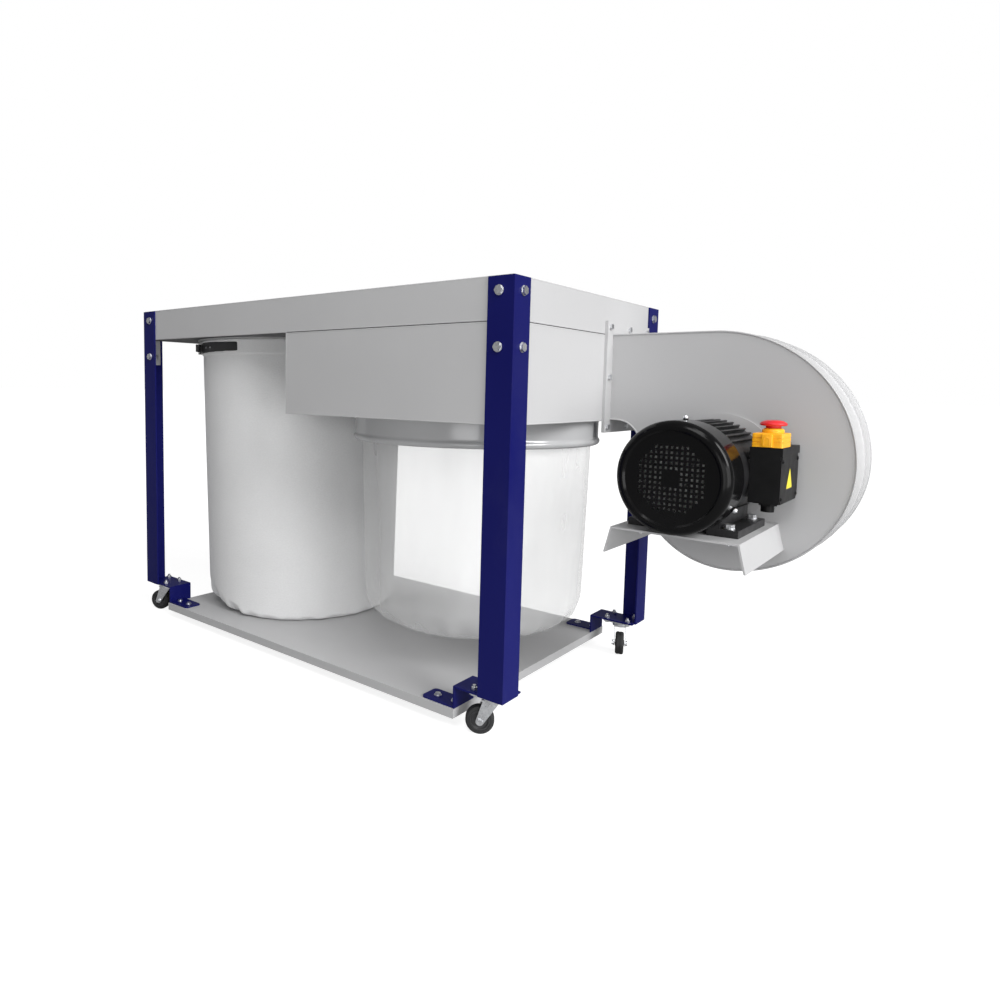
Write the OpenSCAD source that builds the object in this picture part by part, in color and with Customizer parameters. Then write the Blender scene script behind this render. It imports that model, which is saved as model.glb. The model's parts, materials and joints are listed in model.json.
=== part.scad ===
// Two-bag dust collector: a flat canopy and settling box on four angle legs, a filter bag,
// a clear dust bag, a base tray on swivel casters, and a side-mounted centrifugal blower.
// +X runs along the machine towards the blower, -Y is the motor side, Z = 0 is the floor.

/* [Frame] */
// Length of one bag bay; the machine is two bays long
bay_len = 550; // [500:1:700]
// Depth of the machine over its legs
frame_depth = 600; // [540:1:760]
// Length of each angle leg
leg_len = 700; // [600:1:900]
// Width of each leg flange
leg_w = 50; // [40:1:60]
// Thickness of the leg angle
leg_t = 3; // [2:0.5:5]
// Sheet thickness of the canopy, box and tray
sheet_t = 1.5; // [1:0.1:3]
// Distance of the leg bolts from the outer corner
leg_bolt_inset = 28; // [24:1:34]
// Height of the upper leg bolts below the leg's top
leg_bolt_drop = 23; // [15:1:30]
// Spacing of the upper and lower leg bolts
leg_bolt_pitch = 90; // [80:1:110]

/* [Canopy and box] */
// Height of the canopy's side walls
canopy_h = 72; // [60:1:100]
// Height of the settling box under the canopy
box_h = 168; // [140:1:240]
// Gap from a bag collar to the nearest wall of its bay
collar_margin = 20; // [15:1:60]
// Height of the spun collar over the dust bag
bag_collar_h = 51; // [40:1:70]
// Radius of the rolled lip on that collar
lip_r = 6; // [4:0.5:8]
// Height of the skirt that holds the filter bag
filter_skirt_h = 40; // [32:1:60]

/* [Bags] */
// Wall of the bag solids
bag_t = 2; // [1.5:0.5:4]
// Gap between the dust bag and the tray
dust_bag_gap = 68; // [20:1:120]
// Radius of the dust bag's lower edge
dust_bag_r = 36; // [20:1:60]
// How much the bags narrow towards the bottom
bag_taper = 10; // [4:1:20]
// Width of the clamp band and of the snap ring
band_w = 26; // [18:1:30]
// Thickness of the clamp band and of the snap ring
band_t = 2; // [1.5:0.5:3]
// Place of the clamp's buckle round the collar
buckle_angle = 232; // [200:1:250]

/* [Tray] */
// Height of the tray's folded edge
tray_h = 17; // [12:1:30]
// Height of the tray's top above the floor
tray_top = 36; // [30:1:60]
// Length of the bracket plate between tray and leg
bracket_len = 97; // [85:1:120]
// Width of the bracket's plate and riser
bracket_w = 60; // [56:1:80]
// Thickness of the bracket
bracket_t = 3; // [2:0.5:5]
// Length and width of the bracket's foot on the tray
foot_size = [74, 43]; // [40:1:100]

/* [Casters] */
// Wheel diameter
wheel_d = 50; // [40:1:60]
// Wheel width
wheel_w = 18; // [14:1:24]
// Height of the swivel bearing and plate above the wheel
caster_room = 24; // [22:1:40]
// Side of the square caster plate
plate_w = 60; // [54:1:70]
// Thickness of the caster plate
plate_t = 2.5; // [2:0.5:4]
// Bolt spacing of the caster plate along X and Y
plate_bolts = [48, 38]; // [30:1:60]
// Distance from the swivel axis to the wheel axle
trail = 20; // [15:1:25]
// Swivel axis from the leg's outer corner along X and Y
caster_inset = [42, 34]; // [30:1:60]
// Radial clearance of a shaft in its bore
run_clear = 0.05; // [0.02:0.01:0.1]

/* [Blower] */
// Outer width of the scroll and duct
duct_w = 152; // [130:1:190]
// Outer height of the duct
duct_h = 165; // [140:1:190]
// Sheet thickness of the scroll
scroll_t = 2; // [1.5:0.5:4]
// Width of the flange round the duct
flange_lip = 26; // [22:1:34]
// Thickness of each duct flange
flange_t = 3; // [2:0.5:5]
// Gap between the flange and the nearest leg
flange_gap = 7; // [4:1:30]
// Shaft axis from the end of the frame
axis_reach = 215; // [200:1:260]
// Shaft axis below the top of the duct
axis_drop = 242; // [230:1:280]
// Growth of the scroll's radius at each quarter turn
scroll_step = 34; // [24:1:40]
// Offset of the scroll's centre from the shaft, X and Z
scroll_shift = [-4, -5]; // [-10:1:10]
// Radius of the cut-off below the duct
cutoff_r = 50; // [30:1:60]
// Outer diameter of the inlet spigot
inlet_d = 150; // [120:1:200]
// Length of the inlet spigot
inlet_len = 60; // [40:1:75]
// Diameter of the impeller
impeller_d = 270; // [220:1:276]
// Width of the impeller blades
blade_w = 78; // [60:1:100]
// Number of impeller blades
blade_count = 10; // [6:1:14]

/* [Motor] */
// Height of the shaft over the motor's feet
shaft_h = 90; // [90:1:112]
// Diameter of the motor's frame under its fins
motor_d = 160; // [140:1:160]
// Length of the finned motor frame
motor_len = 150; // [140:1:200]
// Height of the cooling fins
fin_h = 7; // [4:0.5:10]
// Diameter of the motor shaft
shaft_d = 24; // [19:1:28]
// Hole spacing of the motor's feet across the shaft
foot_a = 140; // [130:1:150]
// Hole spacing of the motor's feet along the shaft
foot_b = 125; // [100:1:130]
// Diameter of the fan cover
cover_d = 179; // [174:1:190]
// Length of the fan cover
cover_len = 66; // [56:1:80]
// Width of the motor shelf
shelf_w = 200; // [190:1:230]
// Length of the motor shelf
shelf_len = 232; // [210:1:260]
// Drop and outward splay of the shelf's side flanges
shelf_lip = [44, 11]; // [8:1:60]
// Thickness of the motor shelf
shelf_t = 3; // [2:0.5:5]

/* [Switch] */
// Terminal box size along X, Y and Z
tbox = [46, 117, 76]; // [40:1:130]
// Height of the switch plinth on the terminal box
plinth_h = 13; // [10:1:18]
// Switch cover size along X, Y and Z
flap = [45, 63, 26]; // [20:1:80]
// Diameter of the stop mushroom
mushroom_d = 40; // [34:1:42]
// Travel of the stop mushroom and the button under it
stop_travel = 3; // [2:0.5:4]

/* [Hidden] */
$fn = 64;
half_len = bay_len;
half_depth = frame_depth / 2;

// leg bolts and screws
bolt_d = 8;
bolt_gap = 0.5;
head_af = 13;
head_h = 5;

// levels
leg_z = wheel_d + caster_room;
leg_top = leg_z + leg_len;
canopy_top = leg_top + 1;
canopy_z = canopy_top - canopy_h;
box_z = canopy_z - box_h;
bolt_zs = [leg_top - leg_bolt_drop, leg_top - leg_bolt_drop - leg_bolt_pitch];

// walls stand inside the legs
wall_x = half_len - leg_t;
wall_y = half_depth - leg_t;
bolt_tab = leg_bolt_inset + 12;

// collars and bags
collar_r = min(bay_len / 2, half_depth) - collar_margin;
collar_wall = 2;
filter_x = -bay_len / 2;
dust_x = bay_len / 2;
bag_collar_z = box_z - bag_collar_h;
skirt_z = canopy_z - filter_skirt_h;
dust_bag_z = tray_top + dust_bag_gap;
dust_mouth_r = collar_r - bag_t;
dust_neck_r = collar_r + 3 - 2 * lip_r - 2;
buckle_r = collar_r + bag_t + band_t;
lever_pin = [6, -14];

// tray
tray_x = half_len - leg_t - bracket_len;

// blower, with its scroll drawn in X and Z
flange_r = [duct_w / 2 + flange_lip, duct_h / 2 + flange_lip];
duct_y = half_depth - leg_w - flange_gap - flange_r[0];
duct_top = canopy_z;
duct_mid_z = duct_top - duct_h / 2;
face_x = wall_x;
plate_y = duct_y - duct_w / 2;
back_y = duct_y + duct_w / 2;
axis_x = half_len + axis_reach;
axis_z = duct_top - axis_drop;
scroll_x = axis_x + scroll_shift[0];
scroll_z = axis_z + scroll_shift[1];
top_r = duct_top - scroll_z - scroll_step / 2;
scroll_right = scroll_x - scroll_step / 2 + top_r;
scroll_left = scroll_x + 2.5 * scroll_step - top_r;
rib = [10, 3];
motor_hole_r = 45;

// motor: y runs from the scroll's plate towards the fan cover
shield_t = 12;
drive_y = plate_y - 16;
motor_y0 = drive_y - shield_t;
motor_y1 = motor_y0 - motor_len;
fan_end_y = motor_y1 - shield_t;
cover_y = fan_end_y + 6;
cover_end = cover_y - cover_len;
shelf_z = axis_z - shaft_h;
frame_wall = 9;
stator_r = motor_d / 2 - frame_wall;
air_gap = 1;
rotor_r = 44;
foot_y0 = motor_y0 - 8;
foot_h = 12;
foot_hole_y = [foot_y0 - 15, foot_y0 - 15 - foot_b];

// switch stack on the terminal box
tbox_x = axis_x + motor_d / 2;
tbox_y = motor_y1 + 55;
tbox_z = axis_z - 41;
tbox_top = tbox_z + tbox[2];
plinth_top = tbox_top + plinth_h;
switch_x = tbox_x + 1 + flap[0] / 2;
switch_y = tbox_y + flap[1] / 2;
flap_z = plinth_top + 0.4;
flap_t = 2;
hinge_y = tbox_y + flap[1] + 4;
hinge_z = flap_z + 3;
hinge_r = 1.5;
button_r = 6;
stem_r = 7;
button_h = 7;

// the origin is under the middle of the whole machine
reach_min = -half_len - head_h;
reach_max = scroll_right + rib[1];
frame_x = -(reach_min + reach_max) / 2;

// name, side in X, side in Y and resting turn of each corner's caster
CORNERS = [
    ["front_left", -1, -1, 205],
    ["front_right", 1, -1, 213],
    ["back_left", -1, 1, 160],
    ["back_right", 1, 1, 292],
];

function arc(c, r, a0, a1, n) =
    [for (i = [0:n]) let (a = a0 + (a1 - a0) * i / n) [c[0] + r * cos(a), c[1] + r * sin(a)]];

// moves a piece from the middle of the four legs to the machine's own origin
module placed() translate([frame_x, 0, 0]) children();

// puts a piece at a leg's outer corner, with its -X and -Y sides facing inwards
module at_corner(sx, sy)
    placed() translate([sx * half_len, sy * half_depth, 0])
        mirror([sx < 0 ? 1 : 0, 0, 0]) mirror([0, sy < 0 ? 1 : 0, 0]) children();

// a rectangle given by its low and high corners
module span(lo, hi) translate([lo[0], lo[1]]) square([hi[0] - lo[0], hi[1] - lo[1]]);

// a block given by its low and high corners
module block(lo, hi) translate(lo) cube(hi - lo);

// hexagon bolt head on a washer, standing on the local XY plane
module bolt_head(h = head_h) {
    cylinder(h = 1.2, d = head_af + 4);
    cylinder(h = h, d = head_af / cos(30), $fn = 6);
}

module rounded(size, r) {
    hull() for (x = [r, size[0] - r], y = [r, size[1] - r])
        translate([x, y]) circle(r, $fn = 24);
}

// ---- canopy, box and bags ----

// shallow lid over both bays, with a tab behind the lower bolts of the left legs
module canopy() color([0.72, 0.72, 0.73]) placed() difference() {
    union() {
        block([-wall_x, -wall_y, canopy_z], [wall_x, wall_y, canopy_top]);
        for (sy = [-1, 1]) mirror([0, sy < 0 ? 1 : 0, 0])
            block([-wall_x, wall_y - bolt_tab, bolt_zs[1] - 20], [bolt_tab - wall_x, wall_y, canopy_z]);
    }
    block([sheet_t - wall_x, sheet_t - wall_y, bolt_zs[1] - 30],
          [wall_x - sheet_t, wall_y - sheet_t, canopy_top - sheet_t]);
    leg_bolt_holes();
}

module leg_bolt_holes() for (c = CORNERS, z = bolt_zs)
    translate([c[1] * half_len, c[2] * half_depth, z])
        mirror([c[1] < 0 ? 1 : 0, 0, 0]) mirror([0, c[2] < 0 ? 1 : 0, 0]) {
            translate([-leg_bolt_inset, 1, 0]) rotate([90, 0, 0])
                cylinder(h = leg_t + sheet_t + 2, d = bolt_d + 2 * bolt_gap);
            translate([1, -leg_bolt_inset, 0]) rotate([0, -90, 0])
                cylinder(h = leg_t + sheet_t + 2, d = bolt_d + 2 * bolt_gap);
        }

// floor of the filter bay, flush with the canopy's lower edge
module canopy_floor() color([0.6, 0.6, 0.62]) placed()
    translate([0, 0, canopy_z]) linear_extrude(sheet_t) difference() {
        span([sheet_t - wall_x, sheet_t - wall_y], [0, wall_y - sheet_t]);
        translate([filter_x, 0]) circle(collar_r - collar_wall, $fn = 128);
    }

// deep box of the dust bay: four walls, a floor with the bag's hole and a duct window
module settling_box() color([0.72, 0.72, 0.73]) placed() difference() {
    block([0, -wall_y, box_z], [wall_x, wall_y, canopy_z]);
    block([sheet_t, sheet_t - wall_y, box_z + sheet_t],
          [wall_x - sheet_t, wall_y - sheet_t, canopy_z + 1]);
    translate([dust_x, 0, box_z - 1]) cylinder(h = sheet_t + 2, r = collar_r - collar_wall, $fn = 128);
    translate([wall_x - sheet_t - 1, plate_y + scroll_t, box_z + scroll_t + 3])
        cube([sheet_t + 2, duct_w - 2 * scroll_t, duct_h - 2 * scroll_t]);
    leg_bolt_holes();
}

// skirt under the canopy's floor that the filter bag is strapped to
module filter_collar() color([0.66, 0.66, 0.68]) placed() translate([filter_x, 0, 0])
    rotate_extrude($fn = 128) union() {
        span([collar_r - collar_wall, skirt_z], [collar_r, canopy_z]);
        span([collar_r - collar_wall, canopy_z - collar_wall], [collar_r + 14, canopy_z]);
    }

// spun ring under the box, with a rolled lower lip
module bag_collar() color([0.5, 0.51, 0.53]) placed() translate([dust_x, 0, 0])
    rotate_extrude($fn = 128) union() {
        span([collar_r, bag_collar_z + lip_r], [collar_r + collar_wall + 1, box_z]);
        span([collar_r, box_z - collar_wall], [collar_r + 14, box_z]);
        translate([collar_r + collar_wall + 1 - lip_r, bag_collar_z + lip_r]) circle(lip_r, $fn = 32);
    }

// felt bag: strapped outside its skirt and standing on the tray
module filter_bag() color([0.86, 0.86, 0.85]) placed() translate([filter_x, 0, 0]) {
    mouth = collar_r + bag_t;
    low = collar_r - bag_taper;
    rotate_extrude($fn = 96) difference() {
        polygon(concat([[0, tray_top], [low - 16, tray_top]],
            arc([low - 16, tray_top + 16], 16, -90, 0, 6),
            [[mouth, skirt_z], [mouth, canopy_z - collar_wall], [0, canopy_z - collar_wall]]));
        polygon(concat([[0, tray_top + bag_t], [low - 16, tray_top + bag_t]],
            arc([low - 16, tray_top + 16], 16 - bag_t, -90, 0, 6),
            [[mouth - bag_t, skirt_z], [mouth - bag_t, canopy_z + 1], [0, canopy_z + 1]]));
    }
}

// split steel band round the filter bag's mouth, with the ears that carry its lever
module clamp_band() color([0.08, 0.08, 0.09]) placed() translate([filter_x, 0, skirt_z + 7]) {
    difference() {
        cylinder(h = band_w, r = buckle_r, $fn = 128);
        translate([0, 0, -1]) cylinder(h = band_w + 2, r = buckle_r - band_t, $fn = 128);
        rotate([0, 0, buckle_angle + 2.2]) translate([0, -3, -1]) cube([2 * buckle_r, 6, band_w + 2]);
    }
    rotate([0, 0, buckle_angle]) translate([buckle_r, 0, 0]) difference() {
        for (z = [0, band_w - 3]) translate([-1, -26, z]) cube([12, 18, 3]);
        translate([lever_pin[0], lever_pin[1], -1]) cylinder(h = band_w + 2, r = 2);
    }
    rotate([0, 0, buckle_angle]) translate([buckle_r + lever_pin[0], lever_pin[1], 0])
        cylinder(h = band_w, r = 2);
    rotate([0, 0, buckle_angle]) translate([buckle_r - 1, 14, 5]) cube([6, 8, band_w - 10]);
}

// over-centre lever of the clamp, lying along the band
module clamp_lever() color([0.06, 0.06, 0.07]) placed()
    translate([filter_x, 0, skirt_z + 7]) rotate([0, 0, buckle_angle]) translate([buckle_r, 0, 0])
        difference() {
            union() {
                translate([lever_pin[0], lever_pin[1], 4]) cylinder(h = band_w - 8, r = 4.5);
                translate([lever_pin[0], lever_pin[1], 4]) cube([4.5, 58, band_w - 8]);
                translate([lever_pin[0] + 2.25, lever_pin[1] + 58, 4]) cylinder(h = band_w - 8, r = 5);
            }
            translate([lever_pin[0], lever_pin[1], 3]) cylinder(h = band_w - 6, r = 2 + run_clear);
        }

// clear plastic bag: its mouth sits inside the spun collar and its bottom hangs over the tray
module dust_bag() color([0.93, 0.94, 0.95, 0.4]) placed() translate([dust_x, 0, 0]) {
    low = dust_neck_r - bag_taper;
    mouth_z = bag_collar_z + 2 * lip_r + 2;
    neck = dust_neck_r;
    rotate_extrude($fn = 96) difference() {
        polygon(concat([[0, dust_bag_z], [low - dust_bag_r, dust_bag_z]],
            arc([low - dust_bag_r, dust_bag_z + dust_bag_r], dust_bag_r, -90, 0, 6),
            [[neck, bag_collar_z], [neck, mouth_z - 2], [collar_r, mouth_z + 4]],
            [[collar_r, box_z - collar_wall], [0, box_z - collar_wall]]));
        polygon(concat([[0, dust_bag_z + bag_t], [low - dust_bag_r, dust_bag_z + bag_t]],
            arc([low - dust_bag_r, dust_bag_z + dust_bag_r], dust_bag_r - bag_t, -90, 0, 6),
            [[neck - bag_t, bag_collar_z], [neck - bag_t, mouth_z], [dust_mouth_r, mouth_z + 6]],
            [[dust_mouth_r, box_z + 1], [0, box_z + 1]]));
    }
}

// spring ring that presses the dust bag's mouth against its collar
module snap_ring() color([0.75, 0.76, 0.78]) placed()
    translate([dust_x, 0, box_z - collar_wall - band_w]) linear_extrude(band_w) difference() {
        circle(dust_mouth_r, $fn = 128);
        circle(dust_mouth_r - band_t, $fn = 128);
    }

// ---- tray, legs and brackets ----

// shallow sheet tray with its edges folded down
module base_tray() color([0.68, 0.68, 0.69]) placed() difference() {
    block([-tray_x, -half_depth, tray_top - tray_h], [tray_x, half_depth, tray_top]);
    block([sheet_t - tray_x, sheet_t - half_depth, tray_top - tray_h - 1],
          [tray_x - sheet_t, half_depth - sheet_t, tray_top - sheet_t]);
    for (c = CORNERS, p = foot_holes)
        translate([c[1] * p[0], c[2] * p[1], tray_top - 5]) cylinder(h = 6, d = 6 + 2 * bolt_gap);
}
foot_holes = [for (x = [14, 52], y = [14]) [tray_x - x, half_depth - leg_t - y - 8]];

module leg(sx, sy) color([0.09, 0.1, 0.36]) at_corner(sx, sy) difference() {
    translate([0, 0, leg_z]) linear_extrude(leg_len)
        polygon([[0, 0], [-leg_w, 0], [-leg_w, -leg_t], [-leg_t, -leg_t], [-leg_t, -leg_w], [0, -leg_w]]);
    for (z = bolt_zs) {
        translate([-leg_bolt_inset, 1, z]) rotate([90, 0, 0])
            cylinder(h = leg_t + 2, d = bolt_d + 2 * bolt_gap);
        translate([1, -leg_bolt_inset, z]) rotate([0, -90, 0])
            cylinder(h = leg_t + 2, d = bolt_d + 2 * bolt_gap);
    }
}

// cranked plate: a foot on the tray, a riser, and a top plate inside the leg
module bracket(sx, sy) color([0.09, 0.1, 0.36]) at_corner(sx, sy) {
    riser = -leg_t - bracket_len;
    top = leg_z + bracket_t;
    difference() {
        union() {
            translate([riser, -leg_t - bracket_w, leg_z]) cube([bracket_len, bracket_w, bracket_t]);
            translate([riser - bracket_t, -leg_t - bracket_w, tray_top])
                cube([bracket_t, bracket_w, top - tray_top]);
            translate([riser - foot_size[0], -leg_t - 8 - foot_size[1] / 2 - 14, tray_top])
                linear_extrude(bracket_t) rounded([foot_size[0], foot_size[1]], 8);
        }
        for (p = plate_holes()) translate([p[0], p[1], leg_z - 1])
            cylinder(h = bracket_t + 2, d = 6 + 2 * bolt_gap);
        for (p = foot_holes) translate([p[0] - half_len, p[1] - half_depth, tray_top - 1])
            cylinder(h = bracket_t + 2, d = 6 + 2 * bolt_gap);
    }
}

function plate_holes() = [for (x = [-1, 1], y = [-1, 1])
    [-caster_inset[0] + x * plate_bolts[0] / 2, -caster_inset[1] + y * plate_bolts[1] / 2]];

// ---- casters ----

module at_swivel(sx, sy) placed()
    translate([sx * (half_len - caster_inset[0]), sy * (half_depth - caster_inset[1]), 0]) children();

plate_z = leg_z - plate_t;
swivel_z = plate_z - 8;
pin_r = 5;

// bolted plate with its kingpin and bearing cup
module caster_plate(sx, sy) color([0.78, 0.79, 0.8]) at_swivel(sx, sy) {
    difference() {
        translate([-plate_w / 2, -plate_w / 2, plate_z]) linear_extrude(plate_t)
            rounded([plate_w, plate_w], 6);
        for (x = [-1, 1], y = [-1, 1])
            translate([x * plate_bolts[0] / 2, y * plate_bolts[1] / 2, plate_z - 1])
                cylinder(h = plate_t + 2, d = 6 + 2 * bolt_gap);
    }
    translate([0, 0, swivel_z + 4]) cylinder(h = plate_z - swivel_z - 4, r = 15);
    translate([0, 0, swivel_z - 5]) cylinder(h = 9, r = pin_r);
    translate([0, 0, swivel_z - 7]) cylinder(h = 2, r = pin_r + 3);
}

// pressed fork with its axle, drawn with the wheel trailing along local +X
module caster_fork(sx, sy, turn) color([0.74, 0.75, 0.77]) at_swivel(sx, sy) rotate([0, 0, turn]) {
    cheek_y = wheel_w / 2 + 2;
    difference() {
        union() {
            translate([0, 0, swivel_z - 3]) cylinder(h = 6, r = 17);
            translate([0, -cheek_y - 2, swivel_z - 3]) cube([18, 2 * cheek_y + 4, 3]);
            for (s = [-1, 1]) translate([0, s > 0 ? cheek_y + 2 : -cheek_y, 0]) rotate([90, 0, 0])
                linear_extrude(2) hull() {
                    translate([-13, swivel_z - 3]) square([28, 3]);
                    translate([trail, wheel_d / 2]) circle(7);
                }
        }
        translate([0, 0, swivel_z - 4]) cylinder(h = 8, r = pin_r + run_clear);
    }
    translate([trail, cheek_y + 6, wheel_d / 2]) rotate([90, 0, 0]) cylinder(h = 2 * cheek_y + 12, r = 3);
    for (s = [-1, 1]) translate([trail, s * (cheek_y + 2), wheel_d / 2]) rotate([s > 0 ? -90 : 90, 0, 0])
        cylinder(h = 4, d = 11, $fn = 6);
}

// rubber wheel: the tread is round at its edges and the hub stands a little proud
module wheel(sx, sy, turn) color([0.1, 0.1, 0.1]) at_swivel(sx, sy) rotate([0, 0, turn])
    translate([trail, 0, wheel_d / 2]) rotate([90, 0, 0]) difference() {
        union() {
            rotate_extrude($fn = 96) polygon(concat([[0, -wheel_w / 2 + 2], [14, -wheel_w / 2 + 2]],
                [[15, -wheel_w / 2]], arc([wheel_d / 2 - 4, 4 - wheel_w / 2], 4, -90, 0, 4),
                arc([wheel_d / 2 - 4, wheel_w / 2 - 4], 4, 0, 90, 4),
                [[15, wheel_w / 2], [14, wheel_w / 2 - 2], [0, wheel_w / 2 - 2]]));
            translate([0, 0, -wheel_w / 2 - 1]) cylinder(h = wheel_w + 2, r = 7);
        }
        translate([0, 0, -wheel_w]) cylinder(h = 2 * wheel_w, r = 3 + run_clear);
    }

// ---- fasteners ----

module leg_bolts() color([0.8, 0.81, 0.82]) for (c = CORNERS, z = bolt_zs) at_corner(c[1], c[2]) {
    translate([-leg_bolt_inset, 0, z]) rotate([-90, 0, 0]) leg_bolt();
    translate([0, -leg_bolt_inset, z]) rotate([0, 90, 0]) leg_bolt();
}

// head outside the leg, shank through both sheets and a nut inside
module leg_bolt() {
    bolt_head();
    translate([0, 0, -leg_t - sheet_t - 9]) cylinder(h = leg_t + sheet_t + 9, d = bolt_d);
    translate([0, 0, -leg_t - sheet_t - 6]) cylinder(h = 6, d = head_af / cos(30), $fn = 6);
}

module bracket_screws() color([0.8, 0.81, 0.82]) placed() for (c = CORNERS, p = foot_holes)
    translate([c[1] * p[0], c[2] * p[1], tray_top + bracket_t]) {
        cylinder(h = 1, d = 14);
        cylinder(h = 4, d = 10);
        translate([0, 0, -bracket_t - 9]) cylinder(h = bracket_t + 9, d = 6);
        translate([0, 0, -bracket_t - sheet_t - 5]) cylinder(h = 5, d = 11, $fn = 6);
    }

module caster_bolts() color([0.8, 0.81, 0.82]) for (c = CORNERS, p = plate_holes())
    at_corner(c[1], c[2]) translate([p[0], p[1], 0]) {
        translate([0, 0, plate_z - 4]) cylinder(h = 4, d = 11, $fn = 6);
        translate([0, 0, plate_z]) cylinder(h = plate_t + bracket_t + 9, d = 6);
        translate([0, 0, leg_z + bracket_t]) cylinder(h = 5, d = 11, $fn = 6);
    }

// ---- duct flanges and scroll ----

flange_bolt_yz = [for (y = [-1, 0, 1], z = [-1, 0, 1]) if (y != 0 || z != 0)
    [y * (flange_r[0] - 13), z * (flange_r[1] - 11)]];

// rectangular ring round the duct, in the plane of the frame's end
module duct_ring(bore) rotate([90, 0, 90]) linear_extrude(flange_t) difference() {
    square(2 * flange_r, center = true);
    square(bore, center = true);
    for (p = flange_bolt_yz) translate(p) circle(d = 6 + 2 * bolt_gap);
}

module box_flange() color([0.62, 0.62, 0.64]) placed()
    translate([face_x, duct_y, duct_mid_z]) duct_ring([duct_w - 2 * scroll_t, duct_h - 2 * scroll_t]);

module duct_flange() color([0.62, 0.62, 0.64]) placed()
    translate([face_x + flange_t, duct_y, duct_mid_z]) duct_ring([duct_w, duct_h]);

module flange_bolts() color([0.8, 0.81, 0.82]) placed()
    translate([face_x + 2 * flange_t, duct_y, duct_mid_z]) for (p = flange_bolt_yz)
        translate([0, p[0], p[1]]) rotate([0, 90, 0]) {
            cylinder(h = 4, d = 10 / cos(30), $fn = 6);
            translate([0, 0, -2 * flange_t]) cylinder(h = 2 * flange_t, d = 6);
        }

// outline of the scroll and duct, drawn in by a margin on every side but the duct's mouth
module scroll_outline(inset = 0, mouth = face_x + flange_t) {
    h = scroll_step / 2;
    polygon(concat(
        [[mouth, duct_top - inset]],
        arc([scroll_x - h, scroll_z + h], top_r - inset, 90, 0, 18),
        arc([scroll_x + h, scroll_z + h], top_r - 2 * h - inset, 0, -90, 16),
        arc([scroll_x + h, scroll_z - h], top_r - 4 * h - inset, -90, -180, 14),
        arc([scroll_left - cutoff_r, duct_top - duct_h - cutoff_r], cutoff_r + inset, 0, 90, 10),
        [[mouth, duct_top - duct_h + inset]]
    ));
}

// a slice of the scroll between two Y planes
module scroll_slice(y0, y1) translate([0, y1, 0]) rotate([90, 0, 0]) linear_extrude(y1 - y0) children();

// motor side plate, with a raised ring round the shaft's hole that stops above the shelf
module scroll_front() color([0.7, 0.7, 0.71]) placed() {
    scroll_slice(plate_y, plate_y + scroll_t) difference() {
        scroll_outline();
        translate([axis_x, axis_z]) circle(motor_hole_r);
    }
    scroll_slice(plate_y - 3, plate_y) translate([axis_x, axis_z]) difference() {
        circle(96, $fn = 128);
        circle(motor_hole_r);
        span([-100, -200], [100, 0.5 - shaft_h]);
    }
}

module scroll_back() color([0.7, 0.7, 0.71]) placed()
    scroll_slice(back_y - scroll_t, back_y) difference() {
        scroll_outline();
        translate([axis_x, axis_z]) circle(inlet_d / 2 - scroll_t);
    }

// curved wall between the plates, with a stiffening rib round its middle
module scroll_band() color([0.86, 0.86, 0.87]) placed() {
    scroll_slice(plate_y + scroll_t, back_y - scroll_t) difference() {
        scroll_outline();
        scroll_outline(scroll_t, face_x);
    }
    scroll_slice(duct_y + 8, duct_y + 8 + rib[0]) difference() {
        intersection() {
            scroll_outline(-rib[1]);
            span([scroll_x - scroll_step / 2, 0], [2 * scroll_right, duct_top]);
        }
        scroll_outline();
    }
}

// round inlet on the back plate: a flange, a tube and a rolled bead
module inlet_spigot() color([0.66, 0.66, 0.68]) placed() translate([axis_x, back_y, axis_z])
    rotate([-90, 0, 0]) rotate_extrude($fn = 128) union() {
        span([inlet_d / 2 - scroll_t, 0], [inlet_d / 2, inlet_len]);
        span([inlet_d / 2 - scroll_t, 0], [inlet_d / 2 + 18, scroll_t]);
    }

// ---- rotor ----

module on_axis(y) placed() translate([axis_x, y, axis_z]) rotate([-90, 0, 0]) children();

impeller_y = plate_y + scroll_t + 12;
fan_y = fan_end_y - 14;

// back disc, hub and backward-leaning blades
module impeller() color([0.55, 0.56, 0.58]) on_axis(impeller_y) difference() {
    union() {
        cylinder(h = 3, d = impeller_d, $fn = 128);
        cylinder(h = 40, r = 24);
        for (i = [0:blade_count - 1]) rotate([0, 0, i * 360 / blade_count])
            translate([34, -1.5, 0]) rotate([0, 0, -18]) cube([impeller_d / 2 - 42, 3, blade_w]);
    }
    translate([0, 0, -1]) cylinder(h = 42, d = shaft_d);
}

// shaft with the rotor core inside the stator
module motor_shaft() color([0.72, 0.73, 0.75]) {
    shaft_y0 = fan_y - 34;
    on_axis(shaft_y0) cylinder(h = impeller_y + 40 - shaft_y0, d = shaft_d);
    on_axis(motor_y1 + 30) cylinder(h = motor_len - 60, r = rotor_r);
}

// plastic fan inside the cover
module cooling_fan() color([0.12, 0.12, 0.13]) on_axis(fan_y - 26) difference() {
    union() {
        cylinder(h = 26, r = 20);
        translate([0, 0, 23]) cylinder(h = 3, r = cover_d / 2 - 14);
        for (i = [0:7]) rotate([0, 0, i * 45]) translate([18, -1.25, 0])
            cube([cover_d / 2 - 34, 2.5, 24]);
    }
    translate([0, 0, -1]) cylinder(h = 28, d = shaft_d);
}

// ---- motor ----

// fins are left out where the terminal box and the feet are
fin_angles = [for (a = [42:7.5:228]) a];

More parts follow.
